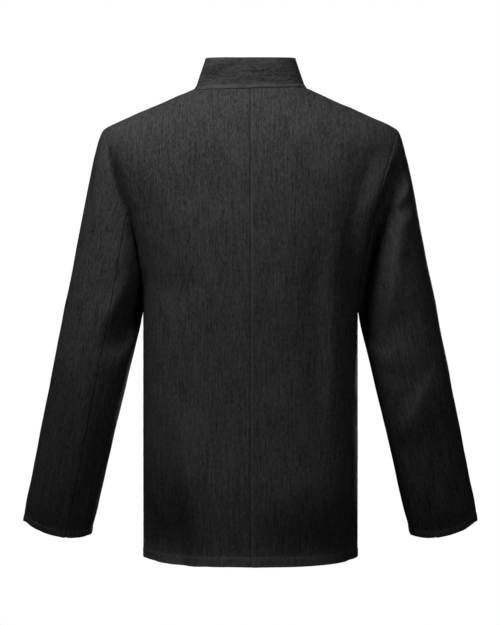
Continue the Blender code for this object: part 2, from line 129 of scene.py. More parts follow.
# How far a button stands off the cloth
BUTTON_GAP = 0.3
# The steps of a button's dish: breadth as a share of the radius, depth of the thickness
BUTTON_STEPS = ((0.22, 0.35), (0.12, 0.1))
# Its rounded rim as a share of the thickness, and how far its holes lie from both middle
# lines as a share of the radius
BUTTON_BEVEL, HOLE_SPREAD = 0.16, 0.19
# The bars of thread: level as a share of the thickness, half thickness and reach past the
# holes in metres
TIE_LEVEL, TIE_THICK, TIE_PAST = 0.55, (0.0005, 0.0006), 0.0007
# How far a buttonhole lies towards the middle from its button, how far its two rows lie
# from its slit and stand above the cloth, and the distance of its stitches in metres
BUTTONHOLE_SHIFT, BUTTONHOLE_RISE, BUTTONHOLE_LIFT = 2.0, 1.25, 0.1
BUTTONHOLE_PITCH = 0.0008
# How far a stitch's ends are drawn down, as a share of the thread's thickness
STITCH_DROOP = 0.55

COLLAR_BACK_HEIGHT = 49.0
COLLAR_FRONT_HEIGHT = 40.0
COLLAR_LEAN_ACROSS = 0.185
COLLAR_LEAN_DEEP = 0.12
COLLAR_FRONT_GAP = 3.0
COLLAR_SLOPE_FROM = 0.3
COLLAR_FRONT_ROUND, COLLAR_ROUND_FROM = 0.3, 0.9
COLLAR_BACK_SHARE = 0.42
COLLAR_LOW = -0.03
COLLAR_HALF_ROUND = 260.0
COLLAR_WALL = 2.6
COLLAR_TURN = 4.6

# drop, the sleeve's outer edge, its inner edge
SLEEVE_EDGES = np.array([
    (340, 295, 170),
    (369, 300.6, 174),
    (433, 314, 189.6),
    (498, 327.8, 205.3),
    (563, 342.6, 221.9),
    (630, 358.3, 238.2),
    (664, 366.6, 246.9),
    (712, 376.2, 258),
])
OUTER_DROPS = (340.0, 689.0)
INNER_DROPS = (365.0, 713.0)
# share of the way from biceps to cuff, forward-back position, half depth, pitch in degrees
TUBE = np.array([
    (0, 3, 75, 0),
    (0.2, 1, 69, 4),
    (0.4, -11, 64, 9),
    (0.7, -40, 56, 16),
    (1, -76, 48, 23),
])
# share of the way down, back seam, front seam, as shares of the way round from the outer edge
SLEEVE_SEAMS = np.array([
    (0, 0.51, -8 / 14),
    (0.5, 0.56, -0.64),
    (1, 0.578, -0.67),
    (2, 0.59, -0.67),
])
NECK_TILT = 2.2
ARMHOLE_GAP = 0.05
ARMHOLE_SINK = 0.25
HEAD_AT_TIP, HEAD_TIP_PULL = (0.93, 0.0, -0.37), 0.16
HEAD_AT_UNDERARM, HEAD_UNDERARM_PULL = (0.03, 0.0, -1.0), 1.0
HEAD_BACKWARD = 0.8
HEAD_AT_BICEPS, HEAD_BICEPS_PULL = (0.225, -0.01, -0.975), 0.95
HEAD_GAP_CURVE = 6
# Where the flattened edges of a cuff are (0 outer, 1 inner), how broad, and how far they
# reach below it
CUFF_CORNERS = ((0.0, 0.1, 9.0), (1.0, 0.12, 6.0))
# The shares down the sleeve between which those corners grow
CUFF_CORNER_REACH = (1.75, 2.0)

# Lengths that the grids' cells are shared out over
TOP_RUN, BACK_RUN, FRONT_RUN, HEAD_RUN, TUBE_RUN = 125.0, 240.0, 175.0, 260.0, 360.0
# A cut of the sleeve: name, seams it runs between, length its columns are shared out over,
# flat size in metres and area in square metres
SLEEVE_CUTS = (
    ("top", "front", "back", 240.0, (0.27, 0.66), 0.153),
    ("under", "back", "front again", 120.0, (0.17, 0.56), 0.069),
)

# ---------------------------------------------------------------- folds

# face (1 back, -1 front), x1, drop1, x2, drop2, width on the side of smaller x, width on the
# other side, height (minus is a trough) and bow
BODY_FOLDS = (
    (1, 66, 60, 71, 210, 24, 24, -2.4, 0),
    (1, 132, 60, 118, 360, 34, 30, 2.2, -8),
    (1, 112, 300, 128, 640, 22, 30, 1.6, 5),
    (1, -108, 40, -103, 150, 22, 16, -3, 0),
    (1, -135, 150, -130, 620, 26, 15, 6, 3),
    (1, -101, 200, -98, 600, 14, 20, -1.4, 3),
    (1, 132, 500, 104, 870, 15, 44, -15, 0),
    (1, 40, 742, 250, 734, 46, 80, -24, 0),
    (1, -250, 728, 10, 746, 50, 56, -16, 0),
    (1, 50, 560, 44, 790, 26, 26, 1.4, 0),
    (-1, 150, 300, 120, 640, 24, 24, -3, 6),
    (-1, -150, 290, -112, 650, 24, 24, -3, -6),
    (-1, 176, 150, 132, 300, 20, 14, -3.6, 6),
    (-1, -176, 160, -128, 320, 14, 22, -4, -7),
    (-1, 30, 560, 45, 746, 30, 30, 3, 0),
    (-1, 100, 150, 96, 420, 22, 22, 1.6, 5),
    (-1, -98, 470, -70, 746, 22, 22, 1.8, 0),
)
# Folds at the back of the sleeves: distance from the middle of the jacket, drop, then the
# other end, widths above or inside the line and below or outside it, height and bow
SLEEVE_CREASES = {
    1: (
        (216, 430, 144, 288, 18, 14, -40, 0),
        (226, 288, 150, 262, 24, 24, 3, 0),
        (216, 425, 280, 740, 22, 14, -7, 0),
        (218, 525, 246, 650, 12, 12, -4, 0),
        (238, 452, 158, 418, 18, 24, 3, 0),
    ),
    -1: (
        (244, 88, 187, 264, 15, 20, -17, 4),
        (202, 150, 170, 440, 11, 20, -46, 0),
        (232, 420, 148, 376, 40, 13, -12, 0),
        (217, 196, 266, 150, 8, 8, 5.5, 0),
        (212, 212, 262, 187, 10, 8, -4.2, 0),
        (222, 162, 250, 118, 9, 9, -3.8, 0),
        (228, 212, 243, 380, 20, 28, 3.8, 0),
        (302, 432, 228, 576, 14, 34, 8, 0),
        (275, 556, 282, 715, 10, 10, 2.4, 0),
        (250, 476, 208, 440, 16, 12, -3, 0),
    ),
}
# Folds at the front of the sleeves: share round (0 outer, minus front, -1 inner), share down
# (1 the biceps, 2 the cuff), the other end, two widths in millimetres, height and bow
SLEEVE_FOLDS = {
    1: (
        (-0.85, 0.95, -0.45, 1.20, 13, 13, -4, -4),
        (-0.90, 1.20, -0.50, 1.36, 12, 12, -3, -3),
        (-0.20, 0.60, -0.34, 1.10, 18, 18, -2, 5),
    ),
    -1: (
        (-0.85, 0.90, -0.50, 1.25, 13, 13, -4, -4),
        (-0.90, 1.24, -0.55, 1.40, 12, 12, -2.6, -3),
        (-0.24, 0.50, -0.40, 1.00, 18, 18, -2, 5),
    ),
}
# Troughs of the body that run along the armhole: the drops between which they start and
# between which they end, distance from the seam, widths towards it and away from it, height
BODY_CHANNELS = {
    1: ((150.0, 210.0), (250.0, 340.0), 40.0, 24.0, 30.0, -3.0),
    -1: ((85.0, 125.0), (290.0, 325.0), 34.0, 16.0, 22.0, -4.0),
}
# How far the armhole seam itself stands out at the back: the drops between which it rises
# and sinks again, the reach over the body and over the sleeve, and the height
SEAM_RIDGES = {
    1: (
        ((76, 150), (290, 330), 32, 11, -6),
        ((90, 150), (250, 320), 10, 4, -12),
    ),
    -1: (((100.0, 170.0), (315.0, 340.0), 24.0, 10.0, 10.0),),
}
# wearer's left (1) or right (-1), share from the centre back (0) to the centre front (1),
# share up, the other end, two widths, height and bow
COLLAR_FOLDS = (
    (1, 0.33, 0.02, 0.00, 1.00, 6, 10, -2.4, 0),
    (-1, 0.00, 0.62, 0.24, 0.70, 8, 8, 0.8, 0),
    (1, 0.10, 0.35, 0.00, 0.50, 8, 8, 0.6, 0),
    (-1, 0.62, 0.10, 0.52, 0.90, 9, 9, -0.8, 0),
    (1, 0.70, 0.10, 0.60, 0.90, 9, 9, -0.8, 0),
    (1, 0.02, 0.40, 0.38, 0.30, 8, 9, -2.2, 0),
    (1, 0.04, 0.84, 0.36, 0.72, 7, 9, 1.2, 0),
)
# Where the folds fade: distances from the side seam, below the neck and from the middle of
# the back, shares down the sleeve, and how far the cloth faces backwards
BODY_CALM_SIDE = (2.0, 34.0)
BODY_CALM_TOP = (70.0, 130.0)
BODY_CALM_MIDDLE = (0.0, 24.0)
SLEEVE_CALM_TOP = (0.05, 0.35)
SLEEVE_CALM_CUFF = (1.75, 1.95)
HEAD_CALM = (0.0, 0.12)
BEHIND = (0.0, 0.3)
SLEEVE_HALF_ROUND = 205.0
SLEEVE_STRETCH = 290.0

# Small waves of pressed cloth: length across, length down, height, phase
RIPPLES = (
    (61, 173, 0.34, 0.4),
    (38, 127, 0.22, 2.1),
    (97, 83, 0.28, 4),
    (27, 96, 0.12, 1.3),
)
# Puckers beside a seam: length along it, share, phase
PUCKERS = (
    (13, 0.5, 0.3),
    (19, 0.7, 1.9),
    (31, 0.6, 4.4),
)

# ---------------------------------------------------------------- stage

# Name of a light and of the setting that is its power, place and size in metres
LIGHTS = (
    ("key", (0.5, 0.9, 0.95), 0.6),
    ("top", (0.3, 0.3, 1.1), 0.6),
    ("side", (-1.0, 2.0, 0.3), 0.8),
    ("low", (0.7, 1.0, 0.0), 0.6),
    ("front", (-0.4, -1.5, -0.1), 0.9),
)
# The floor's side in metres, its colour, roughness and glow
FLOOR_SIZE, FLOOR_PALE, FLOOR_ROUGH, FLOOR_GLOW = 5.6, (0.8, 0.8, 0.8), 0.6, 0.85
# How far the camera stands to one side of the jacket's middle and how far it sees, in
# metres, then its lens and sensor in millimetres
CAMERA_ASIDE, CAMERA_REACH, CAMERA_LENS, CAMERA_SENSOR = 0.0008, 50.0, 104.4, 36.0

# ---------------------------------------------------------------- settings

def length_setting(name, description, default):
    return bpy.props.FloatProperty(
        name=name, description=description, default=default, unit="LENGTH")


def power_setting(name, description, default):
    return bpy.props.FloatProperty(
        name=name, description=description, default=default, unit="POWER")


def colour_setting(name, description, default):
    return bpy.props.FloatVectorProperty(
        name=name, description=description, default=default, subtype="COLOR")


class JacketCloth(bpy.types.PropertyGroup):
    """Sizes and colours of the denim."""
    wall: length_setting("Wall", "Thickness of one layer of cloth", 0.0014)
    double_wall: length_setting("Doubled wall", "Thickness at a turned-up edge", 0.0026)
    cell: length_setting("Cell", "Size of a mesh cell away from the seams", 0.0032)
    ripple: bpy.props.FloatProperty(
        name="Ripple", description="Height of the small waves", default=1.0, subtype="FACTOR")
    hem_turn: length_setting("Hem turn-up", "Height of the hem's turn-up", 0.015)
    cuff_turn: length_setting("Cuff turn-up", "Height of the cuff's turn-up", 0.012)
    weft: colour_setting(
        "Dark yarn", "Colour of the cloth between its pale warp yarns", (0.0115, 0.0115, 0.0115))
    warp: colour_setting("Pale yarn", "Colour of the worn warp yarns", (0.07, 0.07, 0.07))
    thread: colour_setting("Thread", "Colour of the sewing thread", (0.07, 0.07, 0.07))


class JacketSewing(bpy.types.PropertyGroup):
    """Sizes of the stitching."""
    pitch: length_setting("Stitch pitch", "Distance from stitch to stitch", 0.0032)
    length: length_setting("Stitch length", "Length of the thread that shows", 0.0025)
    thread: length_setting("Thread", "Thickness of the sewing thread", 0.0006)
    hem_line: length_setting("Hem line", "Stitching above the hem's edge", 0.0136)
    cuff_line: length_setting("Cuff line", "Stitching above the cuff's edge", 0.0106)
    edge_line: length_setting("Edge line", "Stitching inside a turned edge", 0.0048)
    seam_line: length_setting("Seam line", "Stitching beside a seam", 0.0022)
    buttonhole: length_setting("Buttonhole", "Length of a buttonhole", 0.024)


class JacketButtons(bpy.types.PropertyGroup):
    """Sizes and colour of the buttons."""
    radius: length_setting("Radius", "Radius of a button", 0.009)
    thickness: length_setting("Thickness", "Thickness at the rim", 0.0032)
    hole: length_setting("Hole", "Radius of each of the four holes", 0.00095)
    colour: colour_setting("Colour", "Colour of the plastic", (0.012, 0.012, 0.012))


class JacketStage(bpy.types.PropertyGroup):
    """The floor, the lights and the camera."""
    floor_drop: length_setting("Floor", "Height of the neck above the floor", 1.45)
    camera_distance: length_setting("Camera distance", "From the jacket's middle", 2.9)
    camera_drop: length_setting("Camera drop", "Camera's height below the neck", 0.357)
    key: power_setting("Key light", "Power of the key light", 15.0)
    side: power_setting("Side light", "Power of the side light", 9.3)
    top: power_setting("Top light", "Power of the light above the neck", 11.6)
    low: power_setting("Low light", "Power of the low light", 2.4)
    front: power_setting("Front light", "Power of the light before the fronts", 34.0)
    ambient: bpy.props.FloatProperty(
        name="Ambient", description="Strength of the light from all round", default=0.01)


# ---------------------------------------------------------------- shader helpers

class Wire:
    """A value in a material's node tree, which takes part in sums as a number does."""

    def __init__(self, finish, socket):
        self.finish = finish
        self.socket = socket

    def maths(self, operation, first, second):
        return self.finish.node("ShaderNodeMath", {"operation": operation}, {0: first, 1: second})

    def __add__(self, other):
        return self.maths("ADD", self, other)

    def __radd__(self, other):
        return self.maths("ADD", other, self)

    def __sub__(self, other):
        return self.maths("SUBTRACT", self, other)

    def __rsub__(self, other):
        return self.maths("SUBTRACT", other, self)

    def __mul__(self, other):
        return self.maths("MULTIPLY", self, other)


class Finish:
    """A material that is put together node by node."""

    def __init__(self, name):
        self.material = bpy.data.materials.new(name)
        self.material.use_nodes = True
        self.tree = self.material.node_tree
        self.shader = self.tree.nodes["Principled BSDF"]

    def node(self, kind, settings=None, inputs=None, output=0):
        made = self.tree.nodes.new(kind)
        for key, value in (settings or {}).items():
            setattr(made, key, value)
        for key, value in (inputs or {}).items():
            self.feed(made.inputs[key], value)
        return Wire(self, made.outputs[output])

    def feed(self, socket, value):
        if isinstance(value, Wire):
            self.tree.links.new(value.socket, socket)
        else:
            socket.default_value = value

    def set(self, **values):
        for key, value in values.items():
            self.feed(self.shader.inputs[key.replace("_", " ")], value)

    def ease(self, value, low, high):
        """0 below low, 1 above high and a smooth rise between."""
        return self.node(
            "ShaderNodeMapRange", {"interpolation_type": "SMOOTHSTEP"},
            {"Value": value, "From Min": low, "From Max": high})

    def mix(self, factor, first, second):
        return self.node(
            "ShaderNodeMix", {"data_type": "RGBA"}, {0: factor, 6: first, 7: second}, output=2)

    def noise(self, across, along, size_across, size_along, seed, detail=1.0):
        """Noise with its own size, in metres, across the grain and along it."""
        spot = {0: across * (1 / size_across), 1: along * (1 / size_along), 2: seed}
        spot = self.node("ShaderNodeCombineXYZ", inputs=spot)
        return self.speckle(spot, 1.0, detail)

    def speckle(self, place, scale, detail=2.0):
        return self.node(
            "ShaderNodeTexNoise", inputs={"Vector": place, "Scale": scale, "Detail": detail})

    def bump(self, strength, distance, height):
        return self.node(
            "ShaderNodeBump",
            inputs={"Strength": strength, "Distance": distance, "Height": height})


def rgba(colour, share=1.0):
    return (*(part * share for part in colour), 1.0)


def denim(name, cloth, worn):
    """Washed black denim: pale upright slubs over a dark weft, with a fine twill."""
    finish = Finish(name)
    grain = finish.node("ShaderNodeUVMap", {"uv_map": GRAIN})
    across = finish.node("ShaderNodeSeparateXYZ", inputs={0: grain}, output=0)
    along = finish.node("ShaderNodeSeparateXYZ", inputs={0: grain}, output=1)
    wear = finish.node("ShaderNodeAttribute", {"attribute_name": WEAR}, output=2)
    streak = finish.noise(across, along, 0.0024, 0.046, 3.1, 1.0)
    yarn = finish.noise(across, along, 0.0021, 0.0062, 9.7, 2.0)
    weft = finish.noise(across, along, 0.006, 0.0016, 5.3)
    patch = finish.noise(across, along, 0.040, 0.090, 1.7)
    slub = finish.ease(finish.noise(across, along, 0.0028, 0.016, 6.4), 0.60, 0.74)
    shade = 0.33 + (streak - 0.5) * 0.62 + (yarn - 0.5) * 0.86 + (weft - 0.5) * 0.34
    shade = shade + (patch - 0.5) * 0.16 + slub * 0.12 + wear * worn
    shade = finish.node("ShaderNodeClamp", inputs={0: shade})
    slant = across * 5200.0 + along * 4300.0
    twill = finish.node("ShaderNodeMath", {"operation": "SINE"}, {0: slant})
    height = twill * 0.16 + streak * 0.5 + yarn * 0.7 + weft * 0.45 + slub * 0.3
    finish.set(
        Base_Color=finish.mix(shade, rgba(cloth.weft), rgba(cloth.warp)),
        Roughness=0.90 - yarn * 0.16,
        Normal=finish.bump(0.55, 0.0005, height),
        Specular_IOR_Level=0.06,
    )
    return finish.material


def thread(name, colour):
    """Twisted polyester thread."""
    finish = Finish(name)
    place = finish.node("ShaderNodeTexCoord", output=3)
    fleck = finish.speckle(place, 900.0, 1.0)
    finish.set(
        Base_Color=finish.mix(fleck, rgba(colour, 0.55), rgba(colour)),
        Roughness=0.66 + fleck * 0.1,
        Normal=finish.bump(0.4, 0.0002, fleck),
        Sheen_Weight=0.2,
    )
    return finish.material


def plastic(name, colour):
    """Moulded plastic with a fine grain."""
    finish = Finish(name)
    place = finish.node("ShaderNodeTexCoord", output=3)
    grit = finish.speckle(place, 1400.0)
    cloud = finish.speckle(place, 160.0)
    finish.set(
        Base_Color=finish.mix(cloud, rgba(colour), rgba(colour, 1.9)),
        Roughness=0.30 + grit * 0.16,
        Normal=finish.bump(0.12, 0.0001, grit),
        Specular_IOR_Level=0.5,
    )
    return finish.material


def plain(name, colour, rough, glow):
    """Studio floor with a faint mottle and a glow that keeps it pale."""
    finish = Finish(name)
    place = finish.node("ShaderNodeTexCoord", output=3)
    cloud = finish.speckle(place, 3.0, 3.0)
    finish.set(
        Base_Color=finish.mix(cloud, rgba(colour, 0.96), rgba(colour)),
        Roughness=rough + cloud * 0.1,
        Emission_Color=rgba(colour),
        Emission_Strength=glow,
    )
    return finish.material


def material(name, make, *values):
    return bpy.data.materials.get(name) or make(name, *values)


# ---------------------------------------------------------------- curves and forms

def smooth(table, column, at):
    """Reads a column of a table of sizes along a curve that never swings past them."""
    xs = table[:, 0]
    ys = table[:, column]
    steps = np.diff(xs)
    slopes = np.diff(ys) / steps
    bends = np.zeros(len(xs))
    bends[0], bends[-1] = slopes[0], slopes[-1]
    for i in range(1, len(xs) - 1):
        if slopes[i - 1] * slopes[i] > 0:
            before = 2 * steps[i] + steps[i - 1]
            after = steps[i] + 2 * steps[i - 1]
            bends[i] = (before + after) / (before / slopes[i - 1] + after / slopes[i])
    at = np.asarray(at, float)
    i = np.clip(np.searchsorted(xs, at) - 1, 0, len(steps) - 1)
    t = (at - xs[i]) / steps[i]
    return (
        ys[i] * (1 + 2 * t) * (1 - t) ** 2
        + ys[i + 1] * t * t * (3 - 2 * t)
        + steps[i] * (bends[i] * t * (1 - t) ** 2 + bends[i + 1] * t * t * (t - 1))
    )


def bell(value, width):
    """1 where the value is 0, falling off on both sides over about the width."""
    return np.exp(-((value / width) ** 2))


def ease(low, high, value):
    """0 below low, 1 above high and a smooth rise between."""
    share = np.clip((value - low) / (high - low), 0, 1)
    return share * share * (3 - 2 * share)


def signed_power(value, power):
    return np.sign(value) * np.abs(value) ** power


def unit(vectors):
    return vectors / np.maximum(np.linalg.norm(vectors, axis=-1, keepdims=True), 1e-9)


def graded(length, cell, fine_start, fine_end):
    """Shares of a length in cells that are finer at its sewn ends."""
    near, step, at = [], 0.8, 0.0
    while step < cell:
        at += step
        near.append(at)
        step *= 1.35
    start = near if fine_start else []
    end = [length - gone for gone in near[::-1]] if fine_end else []
    low = start[-1] if start else 0.0
    high = end[0] if end else length
    middle = np.linspace(low, high, max(2, round((high - low) / cell)) + 1)[1:-1]
    return np.array([0.0, *start, *middle, *end, length]) / length


def section(face, drop):
    """Half width, depth and last angle of the body's level section at a height."""
    share = np.clip((drop - TIP_DROP) / (UNDERARM_DROP - TIP_DROP), 0, 1)
    width = smooth(BODY, 2, drop)
    edge = smooth(BODY, 1, drop)
    if face == "front":
        edge = edge - FRONT_SCOOP * (4 * share * (1 - share)) ** FRONT_SCOOP_CURVE
    cut = np.where((share > 0) & (share < 1), np.clip(edge / width, 0, 1), 1.0)
    depth = smooth(BODY, 3 if face == "back" else 4, drop)
    return width, depth, np.arcsin(cut ** (1 / BOX))


def plain_body(face, angle, drop):
    width, depth, _ = section(face, drop)
    x = width * signed_power(np.sin(angle), BOX)
    y = SIGN[face] * depth * signed_power(np.cos(angle), BOX)
    return np.stack(np.broadcast_arrays(x, y, -drop), -1)


def body_normal(face, angle, drop):
    """The outward direction of the body's smooth form."""
    small = 0.01
    across = plain_body(face, angle + small, drop) - plain_body(face, angle - small, drop)
    down = plain_body(face, angle, drop + small) - plain_body(face, angle, drop - small)
    return unit(np.cross(across, down)) * SIGN[face]


def stroke(x, y, x1, y1, x2, y2, before, after, height, bow):
    """A soft fold that tapers to both ends of a bowed line, with a faint lip on either side."""
    length = math.hypot(x2 - x1, y2 - y1)
    along = ((x - x1) * (x2 - x1) + (y - y1) * (y2 - y1)) / length**2
    across = ((x - x1) * (y2 - y1) - (y - y1) * (x2 - x1)) / length
    across = across - bow * 4 * along * (1 - along)
    width = np.where(across < 0, before, after)
    fade = np.clip(1 - np.abs(2 * along - 1) ** 2.4, 0, 1) ** 2
    core = bell(across, width)
    lips = np.exp(-((np.abs(across) / width - 1.9) ** 2) / 0.6)
    return height * (core - 0.16 * lips) * fade


def body_fold(face, side, points):
    """How far the body's soft folds lift it; nothing at its seams and its neck edge."""
    x = points[..., 0] * side
    lift = 0
    for which, *line in BODY_FOLDS:
        if which == SIGN[face]:
            lift = lift + stroke(x, -points[..., 2], *line)
    free = ease(*BODY_CALM_SIDE, np.abs(points[..., 1])) * ease(*BODY_CALM_TOP, -points[..., 2])
    if face == "back":
        free = free * ease(*BODY_CALM_MIDDLE, np.abs(x))
    return lift * free


def body(face, side, angle, drop):
    """Points of the outer face of the wearer's left half (side 1) or right half (side -1)."""
    points = plain_body(face, angle, drop)
    normals = body_normal(face, angle, drop)
    points[..., 1] += SIGN[face] * body_fold(face, side, points)
    return points * (side, 1, 1), normals * (side, 1, 1)


def body_grain(face, angle, drop):
    """Distance round the level section from the middle, which the warp yarns run along."""
    parts = 20
    total = 0
    before = plain_body(face, 0 * angle, drop)
    for i in range(1, parts + 1):
        here = plain_body(face, angle * i / parts, drop)
        total = total + np.linalg.norm(here - before, axis=-1)
        before = here
    return total


def angle_at(face, x, drop):
    width, _, _ = section(face, drop)
    return np.arcsin(np.clip(signed_power(x / width, 1 / BOX), -1, 1))


def neck_line(face, share):
    """(x, drop) of the neck seam, from the middle (0) to the shoulder seam (1)."""
    x = NECK_HALF * np.sin(share * math.pi / 2)
    if face == "back":
        return x, BACK_NECK_DROP * (1 - share**2)
    fall = np.clip(np.cos(share * math.pi / 2), 0, 1)
    return x, FRONT_NECK_DROP * fall**FRONT_NECK_CURVE


def panel_rows(face, shares, neck_shares, cell):
    """(angles, drops, rows above the tip) of a half's rows, from the neck seam to the hem."""
    x, neck = neck_line(face, neck_shares)
    start = angle_at(face, x, neck)
    middle = TIP_ROW_DROP[face]
    bow = ease(0, 1, shares)
    tip = middle + (TIP_DROP - middle) * bow
    stop = shares * section(face, tip)[2]
    part = graded(TOP_RUN, cell, True, False)[:-1, None]
    turn = np.linspace(0, 1, round((UNDERARM_DROP - TIP_DROP) / cell) + 1)[:, None]
    outer = TIP_DROP + (UNDERARM_DROP - TIP_DROP) * (1 - np.cos(math.pi * turn)) / 2
    inner = middle + (UNDERARM_DROP - middle) * turn
    side = inner + (outer - inner) * bow
    below = HEM_DROP - UNDERARM_DROP
    drop = UNDERARM_DROP + below * graded(below, cell, False, True)[1:, None]
    rise = HEM_SIDE_RISE * shares**4 * ease(HEM_RISE_FROM, HEM_DROP, drop)
    angles = (
        start + (stop - start) * part,
        shares * section(face, side)[2],
        shares * math.pi / 2 + 0 * drop,
    )
    drops = (neck + (tip - neck) * part, side, drop - rise)
    return np.concatenate(angles), np.concatenate(drops), len(part)


def hung(face, side, angles, drops):
    """The drops of a panel's rows with its hem let down to an uneven line."""
    x = side * plain_body(face, angles, drops)[..., 0]
    return drops + smooth(HEM_DIPS, 1, x) * ease(HEM_RISE_FROM, HEM_DROP, drops)


def armhole(side, turn):
    """The armhole seam: turn 0 is the shoulder tip, 1 the underarm, minus the front."""
    level = TIP_DROP + (UNDERARM_DROP - TIP_DROP) * (1 - np.cos(np.pi * np.abs(turn))) / 2
    back, behind = body("back", side, section("back", level)[2], level)
    front, ahead = body("front", side, section("front", level)[2], level)
    back, front = back - behind * ARMHOLE_SINK, front - ahead * ARMHOLE_SINK
    seam = np.where((turn >= 0)[..., None], back, front)
    return seam * (side, 1, 1)


def tube(turn, down):
    """A ring of the sleeve's tube: down runs from 0 at the biceps to 1 at the cuff."""
    outer_drop = OUTER_DROPS[0] + (OUTER_DROPS[1] - OUTER_DROPS[0]) * down
    inner_drop = INNER_DROPS[0] + (INNER_DROPS[1] - INNER_DROPS[0]) * down
    outer_x = smooth(SLEEVE_EDGES, 1, outer_drop)
    inner_x = smooth(SLEEVE_EDGES, 2, inner_drop)
    forward = smooth(TUBE, 1, down)
    half_depth = smooth(TUBE, 2, down)
    pitch = np.radians(smooth(TUBE, 3, down))
    across, behind = np.cos(np.pi * turn), np.sin(np.pi * turn)
    x = (outer_x + inner_x) / 2 + (outer_x - inner_x) / 2 * across
    y = forward + half_depth * behind * np.cos(pitch)
    drop = (outer_drop + inner_drop) / 2 + (outer_drop - inner_drop) / 2 * across
    drop = drop + half_depth * behind * np.sin(pitch)
    return np.stack(np.broadcast_arrays(x, y, -drop), -1)


def cap(side, turn, down):
    """The sleeve's head, from the armhole seam to the biceps ring."""
    start = armhole(side, turn)
    stop = tube(turn, 0 * down)
    chord = np.linalg.norm(stop - start, axis=-1, keepdims=True)
    high = ((start[..., 2:] + UNDERARM_DROP) / (UNDERARM_DROP - TIP_DROP)).clip(0, 1)
    behind = np.sin(np.pi * turn)[..., None]
    leave = high * HEAD_AT_TIP + (1 - high) * HEAD_AT_UNDERARM
    leave = unit(leave + behind * high * (1 - high) * (0, HEAD_BACKWARD, 0))
    leave = leave * chord * (HEAD_TIP_PULL * high + HEAD_UNDERARM_PULL * (1 - high))
    arrive = unit(np.array(HEAD_AT_BICEPS)) * chord * HEAD_BICEPS_PULL
    t = down[..., None]
    return (
        start * (1 + 2 * t) * (1 - t) ** 2
        + stop * t * t * (3 - 2 * t)
        + leave * t * (1 - t) ** 2
        + arrive * t * t * (t - 1)
        + np.array((ARMHOLE_GAP, 0, 0)) * (1 - t) ** HEAD_GAP_CURVE
    )


def plain_sleeve(side, turn, down):
    turn = (turn + 1) % 2 - 1
    head = cap(side, turn, np.clip(down, 0, 1))
    rest = tube(turn, np.clip(down - 1, 0, 1.01))
    return np.where((down <= 1)[..., None], head, rest)


def sleeve(side, turn, down):
    """Points of the sleeve's outer face with its folds, and the directions out of it."""
    small = 0.002
    around = plain_sleeve(side, turn + small, down) - plain_sleeve(side, turn - small, down)
    ahead = np.minimum(down + small, 2.0)
    behind = np.maximum(down - small, 0.0)
    along = plain_sleeve(side, turn, ahead) - plain_sleeve(side, turn, behind)
    normals = unit(np.cross(along, around))
    wrapped = (turn + 1) % 2 - 1
    lift = 0
    for turn1, down1, turn2, down2, *shape in SLEEVE_FOLDS[side]:
        ends = np.array((turn1, down1, turn2, down2))
        ends = ends * (SLEEVE_HALF_ROUND, SLEEVE_STRETCH, SLEEVE_HALF_ROUND, SLEEVE_STRETCH)
        lift = lift + stroke(wrapped * SLEEVE_HALF_ROUND, down * SLEEVE_STRETCH, *ends, *shape)
    points = plain_sleeve(side, turn, down)
    creases = sum(
        stroke(points[..., 0], -points[..., 2], *crease) for crease in SLEEVE_CREASES[side])
    creases = creases * ease(*BEHIND, normals[..., 1]) * ease(*HEAD_CALM, down)
    calm = 1 - ease(*SLEEVE_CALM_CUFF, down)
    points = points + normals * (lift * ease(*SLEEVE_CALM_TOP, down) * calm)[..., None]
    points[..., 1] += creases * calm
    corner = sum(
        height * bell(np.abs(wrapped) - place, width) for place, width, height in CUFF_CORNERS)
    points = points + unit(along) * (corner * ease(*CUFF_CORNER_REACH, down))[..., None]
    return points * (side, 1, 1), normals * (side, 1, 1)


def collar_base(share):
    """The neck seam on the wearer's left, from the centre back (0) to the centre front (1)."""
    behind = share <= COLLAR_BACK_SHARE
    back_x, back_drop = neck_line("back", share / COLLAR_BACK_SHARE)
    front_x, front_drop = neck_line("front", (1 - share) / (1 - COLLAR_BACK_SHARE))
    back = plain_body("back", angle_at("back", back_x, back_drop), back_drop)
    front = plain_body("front", angle_at("front", front_x, front_drop), front_drop)
    return np.where(behind[:, None], back, front)


# ---------------------------------------------------------------- cloth shells

